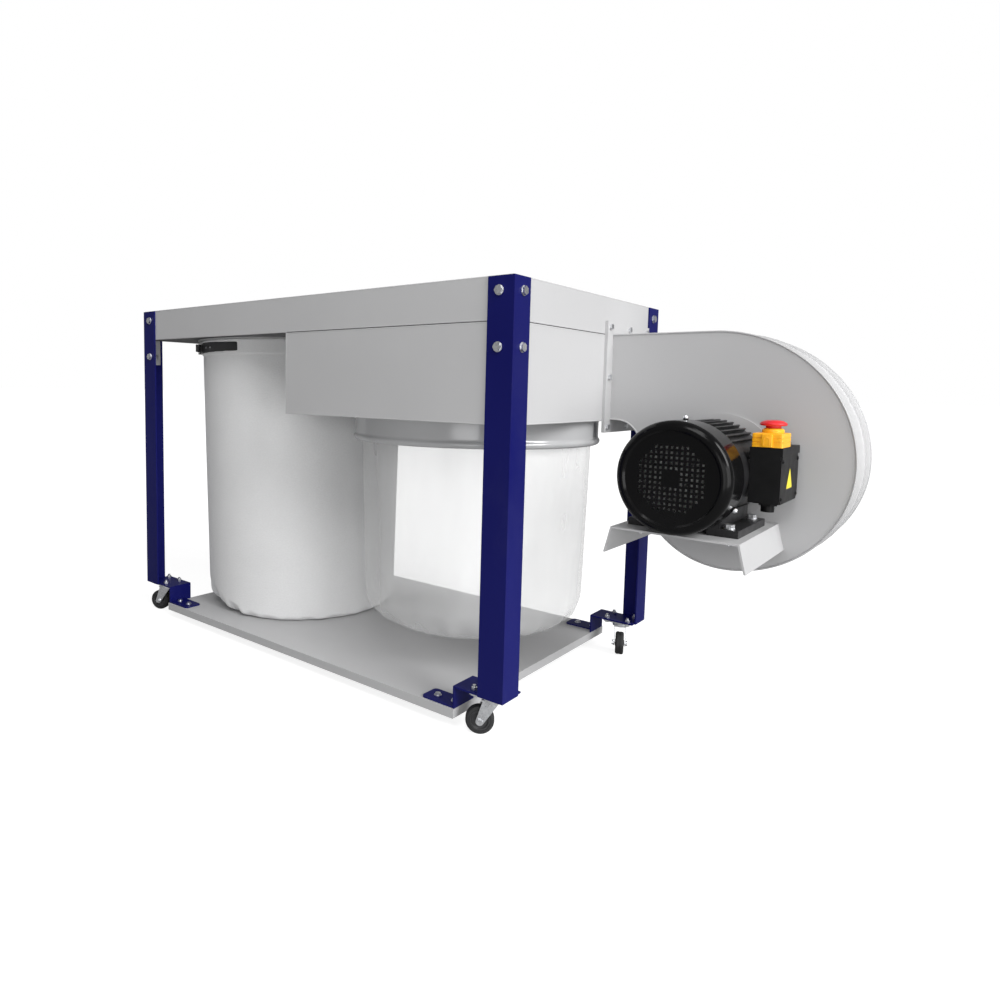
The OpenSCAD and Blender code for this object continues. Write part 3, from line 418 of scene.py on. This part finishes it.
folds = [(edging(way, fold, z, (0, 1, 2), True), "torus") for way, z in (
    (lid_way, lid_hi.z - fold_in), (lid_way, bay_hi.z + joint_gap), (bay_way, bay_lo.z + fold_in),
    (bay_way, bay_hi.z - joint_gap))]
upright = np.array([(bay_lo.x + upright_in, z)
                    for z in (bay_lo.z + upright_in, bay_hi.z - upright_in)])
folds += [(edging(upright, fold, y), "ring") for y in (bay_lo.y + upright_in,
                                                       bay_hi.y - upright_in)]
skins("sheet_folds", folds, grey_paint, "frame")
sealant = moulded("sealant", (0.030, 0.030, 0.031), (0.050, 0.050, 0.052), (0.5, 0.7), 300.0)
seal_h, seal_r = 0.0017, 0.0007
seal = edging(bay_way, rounded_section(fold_w, seal_h, seal_r), bay_hi.z, (0, 1, 2), True)
skins("box_joint", [(seal, "torus")], sealant, "frame")

# ---- Bolts and screws ----
# Zinc-plated hexagon bolts on plain washers hold the sheets in the legs; smaller ones hold the
# brackets, the caster plates and the duct's flanges.
wears(zinc, "zinc", "leg_bolts", "bracket_screws", "caster_bolts", "flange_bolts", "motor_bolts")

# ---- Bag collars ----
# The skirt of the felt bag is rolled sheet. The dust bag's collar is spun from one disc, with a
# rolled lip, and sprayed a glossier grey; the spinning leaves faint rings.
lo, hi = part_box("bag_collar")
dust_axis = ((lo.x + hi.x) / 2, (lo.y + hi.y) / 2)
collar_grey, tree, surface = shader("collar_grey", 0.1)
spinning = pattern(tree, "ShaderNodeTexWave", 55.0, (*dust_axis, 0), wave_type="RINGS",
                   rings_direction="Z", Distortion=0.6, Detail=2.0)
cloud = pattern(tree, "ShaderNodeTexNoise", 5.0, Detail=5.0)
tree.links.new(tones(tree, cloud, (0.46, 0.463, 0.47), (0.53, 0.533, 0.54)),
               surface.inputs["Base Color"])
tree.links.new(spread(tree, cloud, 0.15, 0.24), surface.inputs["Roughness"])
tree.links.new(relief(tree, spinning, 0.00008), surface.inputs["Normal"])
lip_w = 0.014
ring_top, ring_foot, ring_r = hi.z, lo.z, (hi.x - lo.x) / 2 - lip_w
spun = np.concatenate([
    [(ring_r - 0.0004, ring_top), (ring_r + 0.0136, ring_top), (ring_r + 0.0140, ring_top - 0.0006),
     (ring_r + 0.0136, ring_top - 0.0014)],
    bend((ring_r + 0.0065, ring_top - 0.0050), 0.0036, 90, 180, 6),
    [(ring_r + 0.0026, ring_foot + 0.0175)],
    bend((ring_r - 0.0010, ring_foot + 0.0072), 0.0070, 52, -180, 26),
    bend((ring_r - 0.0034, ring_foot + 0.0120), 0.0034, 150, 20, 6),
    [(ring_r + 0.0010, ring_foot + 0.0200), (ring_r + 0.0002, ring_top - 0.006)],
])
skins("spun_collar", [(turned(spun, (*dust_axis, 0), (0, 0, 1), 192), "torus")], collar_grey,
      "frame", ("bag_collar",), crease=1.0)
wears(grey_paint, "grey_paint", "filter_collar")

# ---- Filter bag ----
# A tube of needled felt, sewn down its back and round its flat bottom. It is strapped outside
# the skirt, narrows a little, and its slack bottom edge folds where it stands on the tray.
lo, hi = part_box("filter_bag")
felt_axis = np.array([(lo.x + hi.x) / 2, (lo.y + hi.y) / 2])
felt_top, felt_foot, felt_mouth = hi.z, lo.z, (hi.x - lo.x) / 2
felt_low = felt_mouth - 0.012
felt, tree, surface = shader("felt", Sheen_Weight=0.35, Sheen_Roughness=0.5,
                             Specular_IOR_Level=0.25)
fibre = pattern(tree, "ShaderNodeTexNoise", 1500.0, Detail=3.0, Roughness=0.7)
tuft = pattern(tree, "ShaderNodeTexNoise", 240.0, Detail=5.0, Roughness=0.65, size=(1, 1, 0.7))
row_gap = 0.0024
needled = pattern(tree, "ShaderNodeTexWave", 0.5, uv="cloth", size=(row_gap, row_gap, 1),
                  wave_type="BANDS", bands_direction="Y", Distortion=1.2, Detail=1.0)
drift = pattern(tree, "ShaderNodeTexNoise", 5.0, Detail=4.0)
cloth = mixed(tree, spread(tree, tuft, 0.0, 0.4),
              tones(tree, drift, (0.73, 0.732, 0.735), (0.80, 0.802, 0.805)),
              (0.66, 0.662, 0.665))
tree.links.new(cloth, surface.inputs["Base Color"])
tree.links.new(spread(tree, fibre, 0.82, 0.98), surface.inputs["Roughness"])
tree.links.new(relief(tree, fibre, 0.0004,
                      relief(tree, needled, 0.00012, relief(tree, tuft, 0.0007))),
               surface.inputs["Normal"])


def lay_uv(piece, width, base):
    """A UV map in metres: the way round the piece's middle, and the height above its base."""
    mesh = piece.data
    points = np.zeros(len(mesh.vertices) * 3)
    mesh.vertices.foreach_get("co", points)
    points = points.reshape(-1, 3)
    corner = np.zeros(len(mesh.loops), int)
    mesh.loops.foreach_get("vertex_index", corner)
    middle = (points.min(0) + points.max(0)) / 2
    turn = np.arctan2(points[:, 1] - middle[1], points[:, 0] - middle[0]) / (2 * np.pi)
    uv = np.column_stack([turn * width, points[:, 2] - base])[corner]
    mesh.uv_layers.new(name="cloth").data.foreach_set("uv", uv.ravel())


tube_steps, mouth_rows, wall_rows = 420, 39, 130


def hanging_tube(top, foot, mouth, low, edge, folds, slack, seed, tuck=0.12, dip=0.0,
                 slump=(0, 0), hem=None):
    """A tube whose radius falls from mouth to low, plus gentle drape folds: a sum of a few waves
    round the tube whose phases wander with height, weighted towards its lower part. Its bottom
    edge turns in on a curve of radius edge that puckers by a share, tuck, with a shorter wave,
    then runs to the middle as a shallow dished disc. Slump adds to that radius round one side,
    as (metres, angle), over a bell curve; hem adds a sleeve's thickness to the radius, as a
    function of height and angle."""
    rng, mouth_share, slump_spread = np.random.default_rng(seed), 0.08, 0.6
    t = np.linspace(0, 2 * np.pi, tube_steps, endpoint=False)[None, :]
    down = np.concatenate([np.linspace(0, mouth_share, mouth_rows + 1)[:-1],
                           np.linspace(mouth_share, 1, wall_rows)])[:, None]
    off = (t - slump[1] + np.pi) % (2 * np.pi) - np.pi
    edge = edge + slump[0] * np.exp(-(off / slump_spread) ** 2)
    z = top + (foot + edge - top) * down
    radius = mouth + (low - mouth) * down + (0 if hem is None else hem(z, t))
    drape = sum(
        rng.uniform(0.5, 1.0) / math.sqrt(n)
        * np.sin(n * t + rng.uniform(0, 6.3) + rng.uniform(-1.4, 1.4) * down * 2)
        for n in folds)
    weight = slack * np.clip(down * 1.15, 0, 1) ** 1.3
    radius = radius + weight * drape
    wall = np.stack([radius * np.cos(t), radius * np.sin(t), z + 0 * t], -1)
    pucker = sum(rng.uniform(0.4, 1.0) * np.sin(n * t + rng.uniform(0, 6.3)) for n in (17, 23, 31))
    q = np.linspace(0, 1, 22)[1:, None]
    last = radius[-1:]
    turn_r = (last - edge * (1 - np.cos(q * np.pi / 2))
              - tuck * edge * pucker * np.sin(q * np.pi) ** 2)
    turn_z = foot + edge * (1 - np.sin(q * np.pi / 2)) + 0 * t
    corner = np.stack([turn_r * np.cos(t), turn_r * np.sin(t), turn_z], -1)
    s = np.linspace(1, 0, 40)[1:, None]
    in_r = turn_r[-1:] * s
    in_z = foot + dip * (1 - s ** 2) + 0 * t
    base = np.stack([in_r * np.cos(t), in_r * np.sin(t), in_z], -1)
    return np.concatenate([wall, corner, base])


clamp_lo, clamp_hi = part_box("clamp_band")
sleeve, slit, slit_half = 0.0032, math.radians(253.5), math.radians(28)
slit_width, slit_taper = 0.0125, 0.0022


def from_the_slit(t):
    """The angle from the middle of the sleeve's slit, between half a turn back and forward."""
    return (t - slit + np.pi) % (2 * np.pi) - np.pi


def sleeve_round_the_band(z, t):
    """The thickness of the sewn sleeve: full over the clamp band's height, gone above and below
    it over 2.5 mm. A slit that narrows along its way leaves the band and its buckle bare."""
    over = (np.clip((z - clamp_lo.z + 0.005) / 0.0025, 0, 1)
            * np.clip((clamp_hi.z + 0.0045 - z) / 0.0025, 0, 1))
    off = from_the_slit(t)
    half = slit_width - slit_taper * off / slit_half
    bare = (np.clip((slit_half - np.abs(off)) / 0.010, 0, 1)
            * np.clip((half - np.abs(z - (clamp_lo.z + clamp_hi.z) / 2 - 0.0005)) / 0.0012, 0, 1))
    return sleeve * over * (1 - bare)


felt_tube = hanging_tube(felt_top, felt_foot + 0.0006, felt_mouth - 0.0002, felt_low, 0.013,
                         (2, 3, 5, 7), 0.0028, 11, slump=(0.062, math.radians(238)),
                         hem=sleeve_round_the_band)
felt_tube[..., :2] += felt_axis
filter_bag = skins("felt_bag", [(felt_tube, "ring")], felt, "frame", ("filter_bag",),
                   crease=1.2)
lay_uv(filter_bag, 1.6, felt_foot)
wall = filter_bag.modifiers.new("thickness", "SOLIDIFY")
wall.thickness, wall.offset = 0.0018, -1.0


def stitches(points, along, outward, length, thick):
    """Thread stitches at the given points: each is a capsule of eight-sided rings at seven
    stations along it, whose girth shrinks to its ends as a half-ellipse does."""
    u, v = np.linspace(-1, 1, 7), np.linspace(0, 2 * np.pi, 8, endpoint=False)
    girth = (thick / 2 * np.sqrt(np.clip(1 - u ** 4, 0, 1)))[None, :, None, None]
    way, out = along[:, None, None, :], outward[:, None, None, :]
    ring = (np.cos(v)[None, None, :, None] * out
            + np.sin(v)[None, None, :, None] * np.cross(way, out))
    return [(rows, "ring") for rows in
            points[:, None, None, :] + u[None, :, None, None] * length / 2 * way + girth * ring]


white_thread = moulded("white_thread", (0.66, 0.66, 0.65), (0.80, 0.80, 0.79), (0.6, 0.8), 2400.0)
hem_drop, back_column, seam_step = 0.0075, 114, 0.0075
hem_height = felt_tube[:mouth_rows + wall_rows, 0, 2]
hem_row = felt_tube[np.argmin(np.abs(hem_height - clamp_lo.z + hem_drop))][::2]
turns = np.linspace(0, 2 * np.pi, len(hem_row), endpoint=False)
clear = np.abs(from_the_slit(turns)) > slit_half + 0.02
outward = np.column_stack([np.cos(turns), np.sin(turns), 0 * turns])
along = np.column_stack([-np.sin(turns), np.cos(turns), 0 * turns])
seam_column = felt_tube[mouth_rows + 1:mouth_rows + wall_rows - 3, back_column]
seam_z = np.arange(seam_column[-1, 2], seam_column[0, 2], seam_step)[::-1]
seam = np.column_stack([np.interp(seam_z, seam_column[::-1, 2], seam_column[::-1, k])
                        for k in (0, 1, 2)])
radial = seam - [*felt_axis, 0]
radial[:, 2] = 0
radial /= np.linalg.norm(radial, axis=1)[:, None]
thread = (stitches(hem_row[clear], along[clear], outward[clear], 0.0055, 0.0011)
          + stitches(seam, np.tile([0.0, 0.0, 1.0], (len(seam), 1)), radial, 0.0052, 0.0011))
felt_thread = skins("felt_thread", thread, white_thread, "frame")

# ---- Clamp of the filter bag ----
# A split steel band in a black sleeve goes round the bag's mouth. An over-centre lever pulls
# its ends together and lies along it.
strap_black = moulded("strap_black", (0.012, 0.012, 0.013), (0.028, 0.028, 0.03), (0.35, 0.55),
                      500.0)
wears(strap_black, "black_strap", "clamp_band", "clamp_lever")
rivet = np.array([(0, 0.0011), (0.0013, 0.0009), (0.0022, 0.0004), (0.0024, 0.0), (0, -0.0004)])
rivet_r, rivet_z, rivet_angles = 0.2590, 0.683, (251, 257.5)
spots = [(math.cos(math.radians(a)), math.sin(math.radians(a))) for a in rivet_angles]
rivets = [turned(rivet, (felt_axis[0] + x * rivet_r, felt_axis[1] + y * rivet_r, rivet_z),
                 (x, y, 0), 20)
          for x, y in spots]
skins("clamp_rivets", [(rows, "ring") for rows in rivets], zinc, "frame")

# ---- Dust bag ----
# A thin clear film bag. A spring ring presses its mouth against the inside of the collar, and
# its bottom hangs free over the tray, with the film's creases running down from the ring.
lo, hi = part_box("dust_bag")
film_top, film_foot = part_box("bag_collar")[0].z + 0.008, lo.z
film_neck, film_low = 0.2438, 0.2338
clear_film, tree, surface = shader("clear_film", Roughness=0.16, IOR=1.45, Specular_IOR_Level=0.5)
crease = pattern(tree, "ShaderNodeTexNoise", 6.0, size=(1, 1, 2.8), Detail=2.5, Roughness=0.5,
                 Distortion=0.35)
crush = pattern(tree, "ShaderNodeTexNoise", 17.0, size=(1, 1, 1.7), Detail=1.5, Distortion=0.6)
tree.links.new(tones(tree, crease, (0.90, 0.903, 0.905), (0.98, 0.982, 0.983)),
               surface.inputs["Base Color"])
tree.links.new(spread(tree, crease, 0.24, 0.37, 0.35, 0.75), surface.inputs["Alpha"])
tree.links.new(relief(tree, crush, 0.0016, relief(tree, crease, 0.005)), surface.inputs["Normal"])
film_tube = hanging_tube(film_top, film_foot, film_neck, film_low, 0.066, (3, 4, 7, 9), 0.0016, 5,
                         tuck=0.025, dip=0.004)
film_tube[..., :2] += dust_axis
dust_bag = skins("film_bag", [(film_tube, "ring")], clear_film, "frame",
                 ("dust_bag",), crease=1.2)
spring_steel = plated("spring_steel", (0.58, 0.59, 0.61), (0.74, 0.75, 0.77), (0.25, 0.38), 120.0)
wears(spring_steel, "spring_steel", "snap_ring")

# ---- Scroll and inlet ----
# Two flat plates and a rolled band make the blower's housing, glossier than the box, with the
# band painted lighter as painted light. A rolled bead closes the band on each plate; the inlet tube
# is galvanised.
scroll_paint = sprayed("scroll_paint", (0.46, 0.46, 0.465), (0.49, 0.49, 0.495), (0.29, 0.31),
                       peel=0.00001, wave=0.0004, dust=0.015)
wears(scroll_paint, "scroll_paint", "scroll_front", "scroll_back")
# Painted light: the band's paint is lighter than the plates' to stand in for the light and
# reflections it catches.
band_paint_painted_light = sprayed("band_paint_painted_light", (0.58, 0.58, 0.585), (0.63, 0.63, 0.635), (0.27, 0.31),
                     peel=0.00001, wave=0.0004, dust=0.03)
wears(band_paint_painted_light, "scroll_paint", "scroll_band")
scroll_hi, flange_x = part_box("scroll_front")[1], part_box("duct_flange")[1].x + 0.0002
axis_lo, axis_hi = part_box("motor_shaft")
shaft_axis = np.array([(axis_lo.x + axis_hi.x) / 2, (axis_lo.z + axis_hi.z) / 2])
half_step, duct_height, cutoff = 0.017, 0.165, 0.050
scroll_axis = shaft_axis + (-0.004, -0.005)
top_r = scroll_hi.z - scroll_axis[1] - half_step
left = scroll_axis[0] + 5 * half_step - top_r
outline = np.concatenate([
    [(flange_x, scroll_hi.z)],
    bend(scroll_axis + (-half_step, half_step), top_r, 90, 0, 40),
    bend(scroll_axis + (half_step, half_step), top_r - 2 * half_step, 0, -90, 36)[1:],
    bend(scroll_axis + (half_step, -half_step), top_r - 4 * half_step, -90, -180, 30)[1:],
    bend((left - cutoff, scroll_hi.z - duct_height - cutoff), cutoff, 0, 90, 16)[1:],
    [(flange_x, scroll_hi.z - duct_height)],
])
seam_section, seam_in = rounded_section(0.0030, 0.0052, 0.0013), 0.0012
plates = (scroll_hi.y - seam_in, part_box("scroll_back")[0].y + seam_in)
skins("scroll_seams", [(edging(outline, seam_section, y), "ring") for y in plates], scroll_paint,
      "frame")
inlet_hi, inlet_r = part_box("inlet_spigot")[1], 0.075
galvanised = plated("galvanised", (0.52, 0.53, 0.55), (0.70, 0.71, 0.73), (0.32, 0.5), 90.0)
wears(galvanised, "galvanised", "inlet_spigot", "impeller")
bead = bend((inlet_r, -0.008), 0.0022, 0, 360, 17)[:-1]
skins("inlet_bead",
      [(turned(bead, (shaft_axis[0], inlet_hi.y, shaft_axis[1]), (0, 1, 0)), "torus")],
      galvanised, "frame")

# ---- Rotor ----
# The impeller is a galvanised disc with folded blades on a turned hub. One ground steel shaft
# carries it, the rotor core and a moulded cooling fan.
shaft_steel, tree, surface = shader("shaft_steel", 1.0)
turning = pattern(tree, "ShaderNodeTexWave", 260.0, wave_type="BANDS", bands_direction="Y",
                  Distortion=0.4)
tree.links.new(tones(tree, turning, (0.46, 0.47, 0.49), (0.62, 0.63, 0.65)),
               surface.inputs["Base Color"])
tree.links.new(spread(tree, turning, 0.2, 0.34), surface.inputs["Roughness"])
tree.links.new(relief(tree, turning, 0.00004), surface.inputs["Normal"])
wears(shaft_steel, "shaft_steel", "motor_shaft")
fan_plastic = moulded("fan_plastic", (0.74, 0.74, 0.73), (0.82, 0.82, 0.81), (0.32, 0.5), 420.0)
wears(fan_plastic, "fan_plastic", "cooling_fan")

# ---- Motor ----
# A cast, finned aluminium frame between two end shields, with a pressed steel cover over its
# fan, all sprayed glossy black. Copper windings on a laminated core sit inside.
cast_black = moulded("cast_black", (0.008, 0.008, 0.009), (0.016, 0.016, 0.017), (0.30, 0.48),
                     320.0, 0.0002)
pressed_black = sprayed("pressed_black", (0.0028, 0.0028, 0.003), (0.0045, 0.0045, 0.0048),
                        (0.10, 0.17), peel=0.00003, wave=0.0001, dust=0.015,
                        Specular_IOR_Level=0.15)
wears(cast_black, "motor_black", "motor_frame", "shield_drive", "shield_fan")
screw_y, screw_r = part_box("fan_cover")[1].y - 0.008, 0.0895 + 0.0022
dome = np.array([(0, 0.0054), (0.0012, 0.0052), (0.0012, 0.0042), (0.0032, 0.0040),
                 (0.0041, 0.0028), (0.0043, 0.0014), (0.0043, 0.0), (0.0, 0.0)])
spokes = [(math.cos(math.radians(a)), -math.sin(math.radians(a))) for a in (30, 150, 270)]
screws = [turned(dome, (shaft_axis[0] + x * screw_r, screw_y, shaft_axis[1] + z * screw_r),
                 (x, 0, z), 24)
          for x, z in spokes]
skins("cover_screws", [(rows, "ring") for rows in screws], zinc, "frame")
wears(pressed_black, "cover_black", "fan_cover")
stator_iron, tree, surface = shader("stator_iron", 0.9)
stack = pattern(tree, "ShaderNodeTexWave", 420.0, wave_type="BANDS", bands_direction="Y")
tree.links.new(tones(tree, stack, (0.30, 0.15, 0.07), (0.55, 0.30, 0.15)),
               surface.inputs["Base Color"])
tree.links.new(spread(tree, stack, 0.3, 0.5), surface.inputs["Roughness"])
tree.links.new(relief(tree, stack, 0.0002), surface.inputs["Normal"])
wears(stator_iron, "stator_iron", "stator")
wears(grey_paint, "grey_paint", "motor_shelf")

# ---- Terminal box ----
# A black moulded box on the motor's side with a plain cable gland under it. Its outer face
# carries a plain yellow warning triangle.
box_black = moulded("box_black", (0.004, 0.004, 0.0043), (0.008, 0.008, 0.0085), (0.34, 0.5), 640.0,
                    Specular_IOR_Level=0.16)
wears(box_black, "box_black", "terminal_box", "cable_gland", "switch_plinth")
box_lo, box_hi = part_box("terminal_box")
label_y, label_z, screw_in = 0.058, 0.033, 0.0085
label_at = np.array([box_hi.x, box_lo.y + label_y, box_lo.z + label_z])


def triangle_plate(side, corner_r, thick, stand):
    """An upright triangle with round corners in the YZ plane, facing +X: its outline as five
    rings, from the middle of its back, out to its edge, over its thickness, to the middle."""
    over, under, drawn_in, top = 0.577, 0.289, 0.84, stand + thick
    tips = [(0, side * over), (-side / 2, -side * under), (side / 2, -side * under)]
    loop = np.concatenate([bend(tip, corner_r, a - 60, a + 60, 7)
                           for tip, a in zip(np.array(tips) * drawn_in, (90, 210, 330))])
    sizes = [(0.0, stand), (1.0, stand), (1.0, stand + thick * 0.6), (0.97, top), (0.0, top)]
    rows = np.stack([np.column_stack([np.full(len(loop), x), loop * k]) for k, x in sizes])
    return rows + label_at


print_grain, print_depth = 900.0, 0.00002
label_black = moulded("label_black", (0.012, 0.012, 0.012), (0.02, 0.02, 0.02), (0.3, 0.4),
                      print_grain, print_depth)
label_yellow = moulded("label_yellow", (0.80, 0.66, 0.01), (0.90, 0.76, 0.02), (0.28, 0.4),
                       print_grain, print_depth)
skins("label_border", [(triangle_plate(0.043, 0.0020, 0.0003, 0.0), "ring")], label_black,
      "frame")
skins("label_face", [(triangle_plate(0.0388, 0.0015, 0.0002, 0.0003), "ring")], label_yellow,
      "frame")
lid_screw = np.array([(0, 0.0022), (0.0009, 0.0021), (0.0011, 0.0014), (0.0026, 0.0014),
                      (0.0031, 0.0009), (0.0032, 0.0), (0, 0)])
corners_yz = [(y, z) for y in (box_lo.y + screw_in, box_hi.y - screw_in)
              for z in (box_lo.z + screw_in, box_hi.z - screw_in)]
skins("box_screws", [(turned(lid_screw, (box_hi.x, y, z), (1, 0, 0), 20), "ring")
                     for y, z in corners_yz], box_black, "frame")

# ---- Switch ----
# A hinged yellow cover over a red off button and a green start button. A red mushroom in the
# cover pushes the off button through its stem.
flap_yellow = moulded("flap_yellow", (0.93, 0.41, 0.009), (0.97, 0.46, 0.013), (0.3, 0.42), 700.0)
stop_red = moulded("stop_red", (0.62, 0.012, 0.018), (0.72, 0.020, 0.026), (0.26, 0.38), 800.0)
start_green = moulded("start_green", (0.01, 0.20, 0.04), (0.015, 0.27, 0.055), (0.28, 0.4), 800.0)
cover_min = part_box("switch_cover")[0]
stop_lo, stop_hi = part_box("stop_button")
stem = np.array([(stop_lo.x + stop_hi.x) / 2, (stop_lo.y + stop_hi.y) / 2])
shell_lo = np.array([stem[0] - 0.0225, cover_min.y + 0.003, cover_min.z])
shell_w, shell_d, shell_h, shell_wall, stem_r = 0.045, 0.055, 0.022, 0.002, 0.0071


def cover_ring(inset, share, z):
    """One ring of the cover at a height: a rounded rectangle drawn in by an inset, with points
    along its sides too, and moved by a share towards a circle round the stem."""
    corner_r = max(0.0026 - inset / 2, 0.0008)
    loop = rounded_section(shell_w - 2 * inset, shell_d - 2 * inset, corner_r, 4)
    part = np.linspace(0, 1, 12, endpoint=False)[None, :, None]
    step = (np.roll(loop, -1, 0) - loop)[:, None, :] * part
    loop = (loop[:, None, :] + step).reshape(-1, 2) + shell_lo[:2] + (shell_w / 2, shell_d / 2)
    away = loop - stem
    away /= np.linalg.norm(away, axis=1)[:, None]
    loop = (1 - share) * loop + share * (stem + stem_r * away)
    return np.column_stack([loop, np.full(len(loop), shell_lo[2] + z)])


inner_h = shell_h - shell_wall
cup_rings = [
    (0.0, 0, 0.0), (0.0, 0, 0.0006), (0.0, 0, 0.0070), (0.0007, 0, 0.0074), (0.0007, 0, 0.0084),
    (0.0, 0, 0.0088), (0.0, 0, 0.0136), (0.0007, 0, 0.0140), (0.0007, 0, 0.0150), (0.0, 0, 0.0154),
    (0.0, 0, 0.0200), (0.0003, 0, 0.0211), (0.0012, 0, 0.0218), (0.0022, 0, shell_h),
    (0.0028, 0.5, shell_h), (0.0028, 1, shell_h), (0.0028, 1, inner_h), (0.0040, 0.5, inner_h),
    (0.0036, 0, inner_h), (shell_wall, 0, shell_h - 0.0035), (shell_wall, 0, 0.0),
]
cup = np.stack([cover_ring(*r) for r in cup_rings])
guide = np.array([(stem_r, 0.0), (0.0162, 0.0), (0.0162, 0.0042), (0.0155, 0.0052),
                  (0.0140, 0.0066), (0.0132, 0.0070), (0.0124, 0.0070), (0.0122, 0.0024),
                  (stem_r, 0.0022)])
guide_piece = turned(guide, (*stem, shell_lo[2] + shell_h), (0, 0, 1), 64)


def block(lo, hi, radius):
    """A block whose upright edges are rounded and whose two ends are drawn in a little: a rounded
    rectangle lofted along Z and closed to its middle at both ends."""
    lo, hi = np.array(lo), np.array(hi)
    section = rounded_section(hi[0] - lo[0], hi[1] - lo[1], radius)
    middle, cut = (lo + hi)[:2] / 2, radius / 2
    share = 1 - 2 * cut / (hi[0] - lo[0])
    low, high = lo[2], hi[2]
    stations = [(0, low), (share, low), (1, low + cut), (1, high - cut), (share, high), (0, high)]
    return np.stack([np.column_stack([section * k + middle, np.full(len(section), z)])
                     for k, z in stations])


tab = block((stem[0] - 0.0080, cover_min.y, shell_lo[2] + 0.0008),
            (stem[0] + 0.0080, shell_lo[1] + 0.0012, shell_lo[2] + 0.0205), 0.0012)
arch_middle, arch_r, arch_foot = np.array([stem[0], shell_lo[2] + 0.0115]), 0.0042, -0.008
arch = np.concatenate([[arch_middle + (arch_r, arch_foot)], bend(arch_middle, arch_r, 0, 180, 14),
                       [arch_middle + (-arch_r, arch_foot)]])
arch_rim = edging(arch, rounded_section(0.0013, 0.0012, 0.0005), cover_min.y + 0.0001)
hinge = joint["switch_cover_hinge"]["pos_m"]
barrel = np.array([(0.00156, -0.015), (0.0029, -0.015), (0.0030, -0.0147), (0.0030, 0.0147),
                   (0.0029, 0.015), (0.00156, 0.015)])
leaf = block((stem[0] - 0.015, shell_lo[1] + shell_d - 0.001, hinge[2] - 0.001),
             (stem[0] + 0.015, hinge[1] - 0.0018, hinge[2] + 0.003), 0.0005)
skins("switch_flap", [(cup, "torus"), (guide_piece, "torus"), (tab, "ring"), (arch_rim, "ring"),
                      (leaf, "ring"),
                      (turned(barrel, (stem[0], hinge[1], hinge[2]), (1, 0, 0), 32), "torus")],
      flap_yellow, "switch_cover", ("switch_cover",))
head_h = 0.009
head_z = stop_hi.z - head_h
mushroom = np.concatenate([
    [(0, stop_lo.z), (0.0066, stop_lo.z), (0.0070, stop_lo.z + 0.0004), (0.0070, head_z - 0.0034),
     (0.0112, head_z - 0.0034), (0.0114, head_z - 0.0030), (0.0114, head_z), (0.0150, head_z),
     (0.0172, head_z + 0.0004)],
    bend((0.0172, head_z + 0.0028), 0.0026, -80, 62, 10),
    [(0.0165, head_z + 0.0064), (0.0138, head_z + 0.0079), (0.0100, head_z + 0.0087),
     (0.0050, head_z + 0.0090), (0, head_z + 0.0090)],
])
skins("mushroom", [(turned(mushroom, (*stem, 0), (0, 0, 1), 96), "ring")], stop_red, "stop_button",
      ("stop_button",))
wears(stop_red, "stop_red", "off_button")
wears(start_green, "start_green", "start_button")
